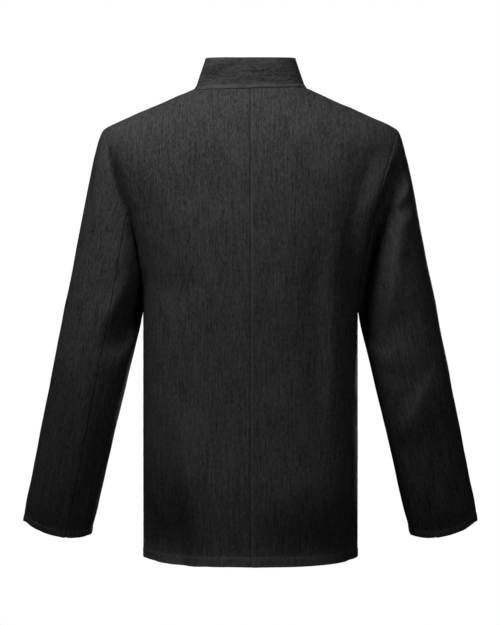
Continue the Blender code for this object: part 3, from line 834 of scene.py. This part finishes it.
class Piece:
    """A cut piece of cloth: its outer face as a grid, and how far each point is from its edges."""

    def __init__(self, points, normals, grain):
        self.points = points
        self.normals = normals
        self.grain = grain
        across = np.linalg.norm(np.diff(points, axis=1), axis=-1)
        down = np.linalg.norm(np.diff(points, axis=0), axis=-1)
        rows, columns = points.shape[:2]
        self.first = np.concatenate([np.zeros((rows, 1)), np.cumsum(across, axis=1)], axis=1)
        self.last = self.first[:, -1:] - self.first
        self.top = np.concatenate([np.zeros((1, columns)), np.cumsum(down, axis=0)], axis=0)
        self.bottom = self.top[-1:, :] - self.top
        self.relief = np.zeros((rows, columns))
        self.shift = np.zeros((rows, columns, 3))
        self.wear = np.zeros((rows, columns))
        self.wall = np.full((rows, columns), settings("cloth").wall * METRE)

    def along(self, edge):
        return self.top if edge in ("first", "last") else self.first

    def pucker(self, edge, seed, height, reach=9.0):
        """Short uneven waves that the sewing draws up beside a line."""
        run = self.along(edge)
        wave = sum(
            share * np.sin(2 * math.pi * run / length + phase + seed)
            for length, share, phase in PUCKERS)
        self.relief += height * wave * np.exp(-getattr(self, edge) / reach)

    def sewn(self, edge, allowance, seed, pucker=0.14, sink=0.9):
        """A seam: the cloth rolls in at it, and may stand up over its pressed allowance."""
        away = getattr(self, edge)
        if allowance:
            self.wall = np.maximum(self.wall, settings("cloth").double_wall * METRE * (away < 10.0))
        self.relief -= sink * bell(away, 1.3)
        self.relief += allowance * ease(0.6, 2.2, away) * (1 - ease(8.0, 11.5, away))
        self.wear += 0.2 * bell(away - 2.6, 1.6) * (allowance > 0)
        self.pucker(edge, seed, pucker)

    def turned(self, edge, height, seed, rise=0.5, pucker=0.16):
        """A turned and stitched edge: doubled, rounded at the fold and drawn in at its stitches."""
        away = getattr(self, edge)
        cloth = settings("cloth")
        inside = 1 - ease(height - 0.8, height + 0.8, away)
        wall = cloth.wall * METRE + (cloth.double_wall - cloth.wall) * METRE * inside
        self.wall = np.maximum(self.wall, wall)
        self.relief += rise * inside - 0.45 * bell(away - height, 1.6)
        self.relief -= 0.5 * bell(away, 0.9)
        self.wear += 0.6 * bell(away - 1.6, 1.4) + 0.08 * inside
        self.wear += 0.3 * bell(away - height + 1.2, 1.2)
        self.pucker(edge, seed, pucker, 14.0)

    def met(self, edge, sink):
        """Brings an edge to the line that the next piece is sewn to."""
        near = 1 - ease(0.0, 3.0, getattr(self, edge))
        self.relief = self.relief * (1 - near) - sink * near

    def tilted(self, edge, reach):
        """Lets the neck seam run a little higher towards the wearer's right at the back."""
        x, y = self.points[..., 0], self.points[..., 1]
        near = bell(getattr(self, edge), reach) * ease(0.0, 40.0, y)
        self.shift[..., 2] -= NECK_TILT * x / NECK_HALF * near

    def channel(self, drops, start, stop, distance, near, far, height):
        """A trough that runs along the armhole of a back panel."""
        away = self.last - distance
        width = np.where(away < 0, near, far)
        there = ease(*start, drops) * (1 - ease(*stop, drops))
        self.relief += height * there * bell(away, width)

    def fall_in(self, height, depth, reach, calm=1.0):
        """The cloth above a hem hangs in, and its turned-up band stands out again."""
        away = self.bottom
        band = 0.75 + 0.25 * ease(-4.0, height + 4.0, away)
        self.relief -= calm * depth * band * bell(np.maximum(away - height, 0), reach)

    def rippled(self, strength, edges):
        """Small waves of the whole cloth, which fade at the seams that other cloth joins."""
        x, y = self.grain[..., 0], self.grain[..., 1]
        wave = sum(
            height * np.sin(2 * math.pi * x / across + phase + 0.8 * np.sin(2 * math.pi * y / down))
            * np.sin(2 * math.pi * y / down + 2 * phase)
            for across, down, height, phase in RIPPLES)
        calm = 1.0
        for edge in edges:
            calm = calm * ease(2.0, 26.0, getattr(self, edge))
        self.relief += strength * settings("cloth").ripple * wave * calm

    def ridge(self, edge, side, body):
        """Lifts the armhole seam, on the body or on the sleeve, by the same amount."""
        drop = -self.points[..., 2]
        for start, stop, over_body, over_sleeve, height in SEAM_RIDGES[side]:
            away = getattr(self, edge) / (over_body if body else over_sleeve)
            there = ease(*start, drop) * (1 - ease(*stop, drop))
            there = there * ease(0.0, 30.0, self.points[..., 1])
            self.shift[..., 1] += height * there * bell(away, 1)

    def outer(self):
        return self.points + self.normals * self.relief[..., None] + self.shift

    def line(self, edge, distance, grids):
        """Values of the grids along the line that lies a distance inside an edge."""
        away = getattr(self, edge)
        axis = 1 if edge in ("first", "last") else 0
        if edge in ("last", "bottom"):
            away = np.flip(away, axis)
            grids = [np.flip(grid, axis) for grid in grids]
        away = np.moveaxis(away, axis, 0)
        after = np.clip((away > distance).argmax(axis=0), 1, None)
        places = np.arange(away.shape[1])
        low, high = away[after - 1, places], away[after, places]
        share = ((distance - low) / (high - low))[:, None]
        found = []
        for grid in grids:
            grid = np.moveaxis(grid, axis, 0)
            found.append(grid[after - 1, places] * (1 - share) + grid[after, places] * share)
        return found


def settings(group):
    return getattr(bpy.context.scene, "jacket_" + group)


def select_only(obj):
    bpy.ops.object.select_all(action="DESELECT")
    obj.select_set(True)
    bpy.context.view_layer.objects.active = obj


def primitive(add, **values):
    """Adds one of Blender's primitives with nothing else selected."""
    bpy.ops.object.select_all(action="DESELECT")
    add(**values)
    return bpy.context.object


def sewing_mesh(name, points, faces, finish):
    """Puts a mesh of cloth or thread into the scene, from points in millimetres."""
    mesh = bpy.data.meshes.new(name)
    mesh.from_pydata((points / METRE).tolist(), [], faces)
    mesh.materials.append(finish)
    obj = bpy.data.objects.new(name, mesh)
    bpy.context.scene.collection.objects.link(obj)
    select_only(obj)
    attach(obj, "root")
    return obj


def shell(name, piece, node):
    """Makes a piece's closed thin shell, with the grain as its UV map, and hides its solid."""
    outer = piece.outer()
    inner = outer - piece.normals * piece.wall[..., None]
    rows, columns = outer.shape[:2]
    count = rows * columns
    grid = np.arange(count).reshape(rows, columns)
    cells = np.stack([grid[:-1, :-1], grid[:-1, 1:], grid[1:, 1:], grid[1:, :-1]], -1)
    cells = cells.reshape(-1, 4)
    rim = np.concatenate([grid[0, :-1], grid[:-1, -1], grid[-1, :0:-1], grid[:0:-1, 0]])
    following = np.roll(rim, -1)
    walls = np.stack([following, rim, rim + count, following + count], -1)
    faces = np.concatenate([cells, cells[:, ::-1] + count, walls])
    i, j = rows // 2, columns // 2
    beside, ahead = outer[i, j + 1] - outer[i, j], outer[i + 1, j] - outer[i, j]
    if np.dot(np.cross(beside, ahead), piece.normals[i, j]) < 0:
        faces = faces[:, ::-1]
    points = np.concatenate([outer.reshape(-1, 3), inner.reshape(-1, 3)])
    finish = material("black_denim", denim, settings("cloth"), DENIM_WORN)
    obj = sewing_mesh(name, points, faces.tolist(), finish)
    grain = np.concatenate([piece.grain.reshape(-1, 2)] * 2) / METRE
    grain = grain[faces.reshape(-1)].astype(np.float32).ravel()
    obj.data.uv_layers.new(name=GRAIN).data.foreach_set("uv", grain)
    worn = np.concatenate([piece.wear.ravel(), INSIDE_WORN * piece.wear.ravel()])
    worn = worn.astype(np.float32)
    obj.data.attributes.new(WEAR, "FLOAT", "POINT").data.foreach_set("value", worn)
    bpy.ops.object.shade_smooth_by_angle(angle=math.radians(50))
    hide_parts(node)


# ---------------------------------------------------------------- stitching

def one_stitch():
    """Corners and faces of one stitch, a bead that is drawn down at both ends."""
    sewing = settings("sewing")
    bead = primitive(
        bpy.ops.mesh.primitive_uv_sphere_add, segments=5, ring_count=4, radius=0.5,
        rotation=(0, math.pi / 2, 0))
    bpy.ops.object.transform_apply(location=False, rotation=True, scale=False)
    corners = np.array([vertex.co[:] for vertex in bead.data.vertices])
    faces = [tuple(face.vertices) for face in bead.data.polygons]
    bpy.data.objects.remove(bead)
    corners = corners * np.array((sewing.length, sewing.thread, sewing.thread)) * METRE
    reach = corners[:, 0] / (sewing.length * METRE / 2)
    corners[:, 2] -= STITCH_DROOP * sewing.thread * METRE * reach**2
    return corners, faces


def read_along(at, gone, rows):
    """Rows of a table read at distances along the line that they stand on."""
    return np.stack([np.interp(at, gone, column) for column in rows.T], -1)


def stitches(name, lines, cross=False, pitch=None):
    """One mesh of stitches along lines of (points, normals), end to end or across the line."""
    pitch = (pitch or settings("sewing").pitch) * METRE
    bead, faces = one_stitch()
    corners, joined = [], []
    for points, normals in lines:
        gone = np.concatenate([[0], np.cumsum(np.linalg.norm(np.diff(points, axis=0), axis=1))])
        number = max(2, round(gone[-1] / pitch))
        at = (np.arange(number) + 0.5) * gone[-1] / number
        centre = read_along(at, gone, points)
        out = unit(read_along(at, gone, normals))
        along = unit(read_along(at + 0.5, gone, points) - read_along(at - 0.5, gone, points))
        beside = unit(np.cross(out, along))
        if cross:
            along, beside = beside, -along
        for spot, x, y, z in zip(centre, along, beside, out):
            start = sum(map(len, corners))
            corners.append(spot + bead[:, :1] * x + bead[:, 1:2] * y + bead[:, 2:] * z)
            joined += [tuple(index + start for index in face) for face in faces]
    obj = sewing_mesh(name, np.concatenate(corners), joined, thread_finish())
    bpy.ops.object.shade_smooth()
    return obj


def sewn_lines(piece, rows):
    """The stitching lines of a piece: (edge, distance inside it in metres) for each."""
    grids = (piece.outer(), piece.normals)
    return [piece.line(edge, distance * METRE, grids) for edge, distance in rows]


def thread_finish():
    return material("sewing_thread", thread, settings("cloth").thread)


def cut(name, sewing_name, piece, rows, node, rests_on, flat, area):
    """Makes a piece of cloth, and its stitching on the given rows first."""
    sewn = stitches(sewing_name, sewn_lines(piece, rows))
    shell(name, piece, node)


# ---------------------------------------------------------------- the jacket's pieces

def back_piece(side):
    cell = settings("cloth").cell * METRE
    shares = graded(BACK_RUN, cell, True, True)
    angles, drops, _ = panel_rows("back", shares, shares, cell)
    drops = hung("back", side, angles, drops)
    points, normals = body("back", side, angles, drops)
    grain = np.stack([side * body_grain("back", angles, drops), drops], -1)
    piece = Piece(points, normals, grain)
    piece.sewn("first", 0.8 if side < 0 else 0.0, 1.0 + side, sink=1.4)
    piece.sewn("last", 0.35, 2.0 + side, sink=0.25)
    piece.sewn("top", 0.0, 3.0 + side, 0.22)
    hem = settings("cloth").hem_turn * METRE
    piece.turned("bottom", hem, 4.0 + side)
    piece.fall_in(hem, 12.0, 70.0, ease(2.0, 40.0, piece.last))
    piece.channel(drops, *BODY_CHANNELS[side])
    piece.met("last", ARMHOLE_SINK)
    piece.ridge("last", side, True)
    piece.tilted("top", 26.0)
    piece.rippled(1.0, ("first", "last", "top"))
    return piece


def front_piece(side):
    """A front with its overlap; the columns of both overlaps stand at the same places."""
    cell = settings("cloth").cell * METRE
    lapped = graded(OVERLAP_HALF, cell, False, True)
    beyond = graded(FRONT_RUN, cell, False, True)[1:]
    shares = np.concatenate([lapped * LAP_SHARE, LAP_SHARE + (1 - LAP_SHARE) * beyond])
    reach = np.arcsin(OVERLAP_HALF / NECK_HALF) / (math.pi / 2)
    neck = np.concatenate([
        np.arcsin(OVERLAP_HALF * lapped / NECK_HALF) / (math.pi / 2),
        reach + (1 - reach) * beyond,
    ])
    angles, drops, above = panel_rows("front", shares, neck, cell)
    middle = len(lapped)
    edge = angle_at("front", OVERLAP_HALF, drops[above:, middle:])
    last = section("front", drops[above:, middle:])[2]
    angles[above:, middle:] = edge + (last - edge) * beyond
    down = graded(TOP_RUN, cell, True, False)[:, None]
    angles[: above + 1, middle:] = angles[0, middle:] * (1 - down) + angles[above, middle:] * down
    angles[:, :middle] = angle_at("front", OVERLAP_HALF * lapped, drops[:, :middle])
    past = lapped[:0:-1]
    past_drops = drops[:, middle - 1:0:-1].copy()
    top = FRONT_NECK_DROP - OVERLAP_TOP_RISE * past**2
    past_drops[: above + 1] = top * (1 - down) + past_drops[above] * down
    angles = np.concatenate([angle_at("front", -OVERLAP_HALF * past, past_drops), angles], axis=1)
    drops = hung("front", side, angles, np.concatenate([past_drops, drops], axis=1))
    points, normals = body("front", side, angles, drops)
    round_it = body_grain("front", angles, drops) * np.sign(angles)
    piece = Piece(points, normals, np.stack([side * round_it, drops + GRAIN_STARTS["front"]], -1))
    piece.sewn("last", 0.0, 5.0 + side)
    piece.sewn("top", 0.0, 6.0 + side, 0.1)
    hem = settings("cloth").hem_turn * METRE
    piece.turned("bottom", hem, 7.0 + side)
    piece.fall_in(hem, 4.0, 36.0, ease(2.0, 40.0, piece.last))
    piece.turned("first", 6.0, 8.0 + side, 0.25, 0.08)
    piece.met("last", ARMHOLE_SINK)
    if side > 0:
        lift = OVERLAP_LIFT + piece.wall - piece.wall.min()
        piece.relief += lift * (1 - ease(*OVERLAP_RAMP, points[..., 0]))
        piece.rippled(0.8, ("last", "top"))
    else:
        piece.relief -= UNDERLAP_SINK * (points[..., 0] > -OVERLAP_RAMP[1])
        piece.rippled(0.8, ("first", "last", "top"))
    return piece


def sleeve_piece(side, first, last, width):
    """A cut of the sleeve between two of its seams."""
    cell = settings("cloth").cell * METRE
    head = graded(HEAD_RUN, cell, True, False)
    rest = graded(TUBE_RUN, cell, False, True)
    down = np.concatenate([head, 1 + rest[1:]])
    seams = {
        "back": smooth(SLEEVE_SEAMS, 1, down),
        "front": smooth(SLEEVE_SEAMS, 2, down),
        "front again": smooth(SLEEVE_SEAMS, 2, down) + 2,
    }
    start, stop = seams[first][:, None], seams[last][:, None]
    turns = start + (stop - start) * graded(width, cell, True, True)[None, :]
    grid = np.broadcast_to(down[:, None], turns.shape)
    points, normals = sleeve(side, turns, grid)
    across = side * turns * SLEEVE_HALF_ROUND + GRAIN_STARTS["sleeve"]
    grain = np.stack([across, grid * SLEEVE_STRETCH], -1)
    piece = Piece(points, normals, grain)
    top = first == "front"
    piece.sewn("first", 0.0, 11.0 + side, sink=1.4)
    piece.sewn("last", 0.7 if top else 0.0, 12.0 + side, sink=1.4)
    piece.sewn("top", 0.0, 14.0 + side, 0.2, 0.0)
    cuff = settings("cloth").cuff_turn * METRE
    piece.turned("bottom", cuff, 15.0 + side)
    piece.fall_in(cuff, 1.6, 20.0, 1 - bell(turns, 0.2))
    piece.met("top", 0.0)
    piece.ridge("top", side, False)
    piece.rippled(1.0, ("first", "last", "top"))
    return piece


def collar_piece():
    """The stand collar, from one front end round the back of the neck to the other."""
    steps = np.linspace(0, 1, 86)
    beyond = COLLAR_BACK_SHARE + (1 - COLLAR_BACK_SHARE) * steps[1:]
    share = np.concatenate([steps * COLLAR_BACK_SHARE, beyond])
    base = collar_base(share)
    slope = ease(COLLAR_SLOPE_FROM, 1, share)
    height = COLLAR_BACK_HEIGHT + (COLLAR_FRONT_HEIGHT - COLLAR_BACK_HEIGHT) * slope
    height = height * (1 - COLLAR_FRONT_ROUND * ease(COLLAR_ROUND_FROM, 1, share) ** 2)
    lean = np.array((1 - COLLAR_LEAN_ACROSS, 1 - COLLAR_LEAN_DEEP, 1))
    top = base * lean + np.stack([0 * height, 0 * height, height], -1)
    base[:, 0] = np.maximum(base[:, 0], COLLAR_FRONT_GAP / 2 * (share > 0.5))
    top[:, 0] = np.maximum(top[:, 0], COLLAR_FRONT_GAP / 2 * (share > 0.5))
    rows = COLLAR_LOW + (1 - COLLAR_LOW) * graded(COLLAR_BACK_HEIGHT, 2.4, True, True)[::-1]
    half = base + (top - base) * rows[:, None, None]
    whole = np.concatenate([half[:, :0:-1] * (-1, 1, 1), half], axis=1)
    side = np.concatenate([-np.ones(len(share) - 1), np.ones(len(share))])
    place = np.concatenate([share[:0:-1], share])
    normals = unit(np.cross(np.gradient(whole, axis=0), np.gradient(whole, axis=1)))
    normals = normals * np.sign((normals[..., :2] * whole[..., :2]).sum())
    run = side * place * COLLAR_HALF_ROUND
    up = rows[:, None] * COLLAR_BACK_HEIGHT
    grain = np.stack(np.broadcast_arrays(-up, run[None, :] + GRAIN_STARTS["collar"]), -1)
    piece = Piece(whole, normals, grain.copy())
    piece.wall[:] = COLLAR_WALL
    for which, share1, up1, share2, up2, *shape in COLLAR_FOLDS:
        ends = (
            which * share1 * COLLAR_HALF_ROUND, up1 * COLLAR_BACK_HEIGHT,
            which * share2 * COLLAR_HALF_ROUND, up2 * COLLAR_BACK_HEIGHT,
        )
        piece.relief += stroke(run, up, *ends, *shape)
    piece.turned("top", COLLAR_TURN, 20.0, 0.25, 0.05)
    piece.turned("first", COLLAR_TURN, 21.0, 0.2, 0.0)
    piece.turned("last", COLLAR_TURN, 22.0, 0.2, 0.0)
    band = 1 - ease(COLLAR_TURN, COLLAR_TURN + 2.2, piece.bottom)
    piece.relief += 1.1 * band - 0.5 * bell(piece.bottom, 0.8)
    piece.wear += 1.1 * bell(piece.bottom - COLLAR_TURN, 1.7)
    piece.pucker("bottom", 23.0, 0.16, 7.0)
    piece.tilted("bottom", 22.0)
    return piece


# ---------------------------------------------------------------- operators

class JACKET_OT_backs(bpy.types.Operator):
    """Make the two back panels, with the seam down the middle and the turned-up hem"""
    bl_idname = "jacket.backs"
    bl_label = "Back panels"

    def execute(self, context):
        sewing = context.scene.jacket_sewing
        for label, side in SIDES:
            piece = back_piece(side)
            rows = [("bottom", sewing.hem_line)]
            if side < 0:
                rows.append(("first", sewing.seam_line))
            cut(f"back_panel_{label}", f"back_stitching_{label}", piece, rows,
                f"back_{label}", ["collar"], (0.28, 0.81), 0.181)
        return {"FINISHED"}


class JACKET_OT_fronts(bpy.types.Operator):
    """Make the two fronts, the left lapped over the right"""
    bl_idname = "jacket.fronts"
    bl_label = "Fronts"

    def execute(self, context):
        sewing = context.scene.jacket_sewing
        for label, side in SIDES:
            piece = front_piece(side)
            rows = [("bottom", sewing.hem_line), ("first", sewing.edge_line)]
            cut(f"front_panel_{label}", f"front_stitching_{label}", piece, rows,
                f"front_{label}", ["collar"], (0.35, 0.79), 0.224)
        return {"FINISHED"}


class JACKET_OT_sleeves(bpy.types.Operator):
    """Make the two-piece sleeves with their turned-up cuffs"""
    bl_idname = "jacket.sleeves"
    bl_label = "Sleeves"

    def execute(self, context):
        sewing = context.scene.jacket_sewing
        for label, side in SIDES:
            for which, first, last, width, flat, area in SLEEVE_CUTS:
                piece = sleeve_piece(side, first, last, width)
                rows = [("bottom", sewing.cuff_line)]
                if which == "top":
                    rows.append(("last", sewing.seam_line))
                cut(f"{which}_sleeve_{label}", f"{which}_sleeve_stitching_{label}", piece, rows,
                    f"sleeve_{which}_{label}", [f"back_panel_{label}"], flat, area)
        return {"FINISHED"}


class JACKET_OT_collar(bpy.types.Operator):
    """Make the stand collar"""
    bl_idname = "jacket.collar"
    bl_label = "Collar"

    def execute(self, context):
        sewing = context.scene.jacket_sewing
        piece = collar_piece()
        rows = [
            ("top", sewing.edge_line),
            ("bottom", sewing.seam_line),
            ("first", sewing.edge_line),
            ("last", sewing.edge_line),
        ]
        cut("stand_collar", "collar_stitching", piece, rows,
            "collar", ["back_panel_left"], (0.57, 0.053), 0.024)
        return {"FINISHED"}


def button_place(across, drop):
    """The point on the outer front under a button, and the direction out of it."""
    drop = np.array(drop)
    spot, out = body("front", 1, angle_at("front", across, drop), drop)
    return spot + out * OVERLAP_LIFT * (1 - ease(*OVERLAP_RAMP, across)), out


class JACKET_OT_buttonholes(bpy.types.Operator):
    """Work a buttonhole round each button that fastens the jacket"""
    bl_idname = "jacket.buttonholes"
    bl_label = "Buttonholes"

    def execute(self, context):
        half = context.scene.jacket_sewing.buttonhole * METRE / 2
        for number, drop in enumerate(BUTTON_DROPS, 1):
            lines = []
            for rise in (-BUTTONHOLE_RISE, BUTTONHOLE_RISE):
                reach = np.linspace(-half, half, 25)
                reach = BUTTONHOLE_SHIFT - BUTTON_ACROSS + reach
                found = [button_place(x, drop + rise) for x in reach]
                points = np.array([spot + out * BUTTONHOLE_LIFT for spot, out in found])
                lines.append((points, np.array([out for _, out in found])))
            stitches(f"buttonhole_{number}", lines, cross=True, pitch=BUTTONHOLE_PITCH)
        return {"FINISHED"}


class JACKET_OT_buttons(bpy.types.Operator):
    """Model one button and sew a copy of it in each place"""
    bl_idname = "jacket.buttons"
    bl_label = "Buttons"

    def execute(self, context):
        model = self.model(context.scene.jacket_buttons)
        tie = self.tie(context.scene.jacket_buttons)
        for label, across in (("left", BUTTON_ACROSS), ("right", -BUTTON_ACROSS)):
            for number, drop in enumerate(BUTTON_DROPS, 1):
                spot, out = button_place(across, drop)
                beside = unit(np.cross(out, (0, 0, 1)))
                frame_of = np.column_stack([beside, np.cross(out, beside), out])
                name = f"button_{label}_{number}"
                disc = self.copy(model, f"sewn_{name}", spot + out * BUTTON_GAP, frame_of)
                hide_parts(name)
                loops = self.copy(tie, f"thread_of_{name}", spot + out * BUTTON_GAP, frame_of)
        for obj in (model, tie):
            bpy.data.objects.remove(obj)
        return {"FINISHED"}

    def copy(self, model, name, spot, axes):
        obj = bpy.data.objects.new(name, model.data.copy())
        bpy.context.scene.collection.objects.link(obj)
        corners = np.array([vertex.co[:] for vertex in obj.data.vertices])
        corners = corners @ axes.T + np.array(spot) / METRE
        obj.data.vertices.foreach_set("co", corners.astype(np.float32).ravel())
        obj.data.update()
        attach(obj, "root")
        return obj

    def model(self, sizes):
        """A disc with a rounded rim, a shallow dish and four holes."""
        disc = primitive(
            bpy.ops.mesh.primitive_cylinder_add, vertices=48, radius=sizes.radius,
            depth=sizes.thickness, location=(0, 0, sizes.thickness / 2))
        bpy.ops.object.transform_apply(location=True, rotation=False, scale=False)
        level = sizes.thickness
        for inward, sink in BUTTON_STEPS:
            self.inset(disc, level, inward * sizes.radius, -sink * sizes.thickness)
            level -= sink * sizes.thickness
        self.modify(
            disc, "BEVEL", width=BUTTON_BEVEL * sizes.thickness, segments=3,
            limit_method="ANGLE", angle_limit=math.radians(25))
        apart = HOLE_SPREAD * sizes.radius
        for x, y in ((-1, -1), (1, -1), (1, 1), (-1, 1)):
            drill = primitive(
                bpy.ops.mesh.primitive_cylinder_add, vertices=16, radius=sizes.hole,
                depth=3 * sizes.thickness, location=(x * apart, y * apart, 0))
            self.modify(disc, "BOOLEAN", object=drill, operation="DIFFERENCE", solver="EXACT")
            bpy.data.objects.remove(drill)
        select_only(disc)
        bpy.ops.object.shade_smooth_by_angle(angle=math.radians(35))
        disc.data.materials.append(material("button_plastic", plastic, sizes.colour))
        return disc

    def inset(self, disc, height, inward, sink):
        """Insets the level face at a height and sinks it."""
        select_only(disc)
        bpy.ops.object.mode_set(mode="EDIT")
        bpy.ops.mesh.select_mode(type="FACE")
        bpy.ops.mesh.select_all(action="DESELECT")
        bpy.ops.object.mode_set(mode="OBJECT")
        for face in disc.data.polygons:
            face.select = abs(face.center.z - height) < 1e-6 and face.normal.z > 0.9
        bpy.ops.object.mode_set(mode="EDIT")
        bpy.ops.mesh.inset(thickness=inward, depth=sink)
        bpy.ops.object.mode_set(mode="OBJECT")

    def modify(self, obj, kind, **values):
        select_only(obj)
        modifier = obj.modifiers.new(kind, kind)
        for key, value in values.items():
            setattr(modifier, key, value)
        bpy.ops.object.modifier_apply(modifier=modifier.name)

    def tie(self, sizes):
        """Two bars of thread across the holes."""
        apart = HOLE_SPREAD * sizes.radius
        level = TIE_LEVEL * sizes.thickness
        bars = [
            primitive(
                bpy.ops.mesh.primitive_uv_sphere_add, segments=10, ring_count=9, radius=1.0,
                location=(0, y, level), rotation=(0, math.pi / 2, 0),
                scale=(*TIE_THICK, apart + TIE_PAST))
            for y in (-apart, apart)
        ]
        bpy.ops.object.select_all(action="DESELECT")
        for bar in bars:
            bar.select_set(True)
        bpy.context.view_layer.objects.active = bars[0]
        bpy.ops.object.transform_apply(location=True, rotation=True, scale=True)
        bpy.ops.object.join()
        bpy.ops.object.shade_smooth()
        bars[0].data.materials.append(thread_finish())
        return bars[0]


class JACKET_OT_stage(bpy.types.Operator):
    """Make the pale floor, the soft lights and the camera"""
    bl_idname = "jacket.stage"
    bl_label = "Stage"

    def execute(self, context):
        stage = context.scene.jacket_stage
        floor = primitive(
            bpy.ops.mesh.primitive_plane_add, size=FLOOR_SIZE, location=(0, 0, -stage.floor_drop))
        floor.name = "floor"
        bpy.ops.object.transform_apply(location=True)
        finish = material("pale_floor", plain, FLOOR_PALE, FLOOR_ROUGH, FLOOR_GLOW)
        floor.data.materials.append(finish)
        floor.visible_diffuse = False
        floor.visible_glossy = False
        middle = Vector((0, 0, -stage.camera_drop))
        for name, place, size in LIGHTS:
            self.light(name, place, middle, size, getattr(stage, name))
        self.camera(context, stage)
        self.surround(context, stage)
        context.scene.view_settings.view_transform = "Standard"
        return {"FINISHED"}

    def light(self, name, place, target, size, power):
        bpy.ops.object.light_add(type="AREA", location=place)
        lamp = bpy.context.object
        lamp.name = name
        lamp.data.shape = "DISK"
        lamp.data.size = size
        lamp.data.energy = power
        lamp.rotation_euler = (target - Vector(place)).to_track_quat("-Z", "Y").to_euler()

    def camera(self, context, stage):
        bpy.ops.object.camera_add(
            location=(CAMERA_ASIDE, stage.camera_distance, -stage.camera_drop),
            rotation=(math.pi / 2, 0, math.pi))
        camera = bpy.context.object
        camera.data.sensor_width = CAMERA_SENSOR
        camera.data.lens = CAMERA_LENS
        camera.data.clip_end = CAMERA_REACH
        context.scene.camera = camera

    def surround(self, context, stage):
        """A white room whose walls show white, and light the jacket only faintly."""
        world = bpy.data.worlds.new("studio")
        world.use_nodes = True
        context.scene.world = world
        tree = world.node_tree
        seen = tree.nodes["Background"]
        lit = tree.nodes.new("ShaderNodeBackground")
        for room, strength in ((seen, 1.0), (lit, stage.ambient)):
            room.inputs["Color"].default_value = (1, 1, 1, 1)
            room.inputs["Strength"].default_value = strength
        path = tree.nodes.new("ShaderNodeLightPath")
        mix = tree.nodes.new("ShaderNodeMixShader")
        tree.links.new(path.outputs["Is Camera Ray"], mix.inputs[0])
        tree.links.new(lit.outputs[0], mix.inputs[1])
        tree.links.new(seen.outputs[0], mix.inputs[2])
        tree.links.new(mix.outputs[0], tree.nodes["World Output"].inputs["Surface"])


class JACKET_PT_panel(bpy.types.Panel):
    """Buttons for making the jacket, in the order they are used"""
    bl_label = "Chef jacket"
    bl_idname = "JACKET_PT_panel"
    bl_space_type = "VIEW_3D"
    bl_region_type = "UI"
    bl_category = "Jacket"

    def draw(self, context):
        for group in GROUPS:
            box = self.layout.box()
            values = getattr(context.scene, "jacket_" + group)
            for name in values.__annotations__:
                box.prop(values, name)
        for operator in OPERATORS:
            self.layout.operator(operator.bl_idname)


GROUPS = {
    "cloth": JacketCloth,
    "sewing": JacketSewing,
    "buttons": JacketButtons,
    "stage": JacketStage,
}
OPERATORS = (
    JACKET_OT_backs,
    JACKET_OT_fronts,
    JACKET_OT_sleeves,
    JACKET_OT_collar,
    JACKET_OT_buttonholes,
    JACKET_OT_buttons,
    JACKET_OT_stage,
)


def register():
    for name, group in GROUPS.items():
        bpy.utils.register_class(group)
        setattr(bpy.types.Scene, "jacket_" + name, bpy.props.PointerProperty(type=group))
    for entry in (*OPERATORS, JACKET_PT_panel):
        bpy.utils.register_class(entry)


def unregister():
    for entry in (JACKET_PT_panel, *reversed(OPERATORS)):
        bpy.utils.unregister_class(entry)
    for name, group in GROUPS.items():
        delattr(bpy.types.Scene, "jacket_" + name)
        bpy.utils.unregister_class(group)


def main():
    register()
    bpy.ops.jacket.backs()
    bpy.ops.jacket.fronts()
    bpy.ops.jacket.sleeves()
    bpy.ops.jacket.collar()
    bpy.ops.jacket.buttonholes()
    bpy.ops.jacket.buttons()
    bpy.ops.jacket.stage()


if __name__ == "__main__":
    main()
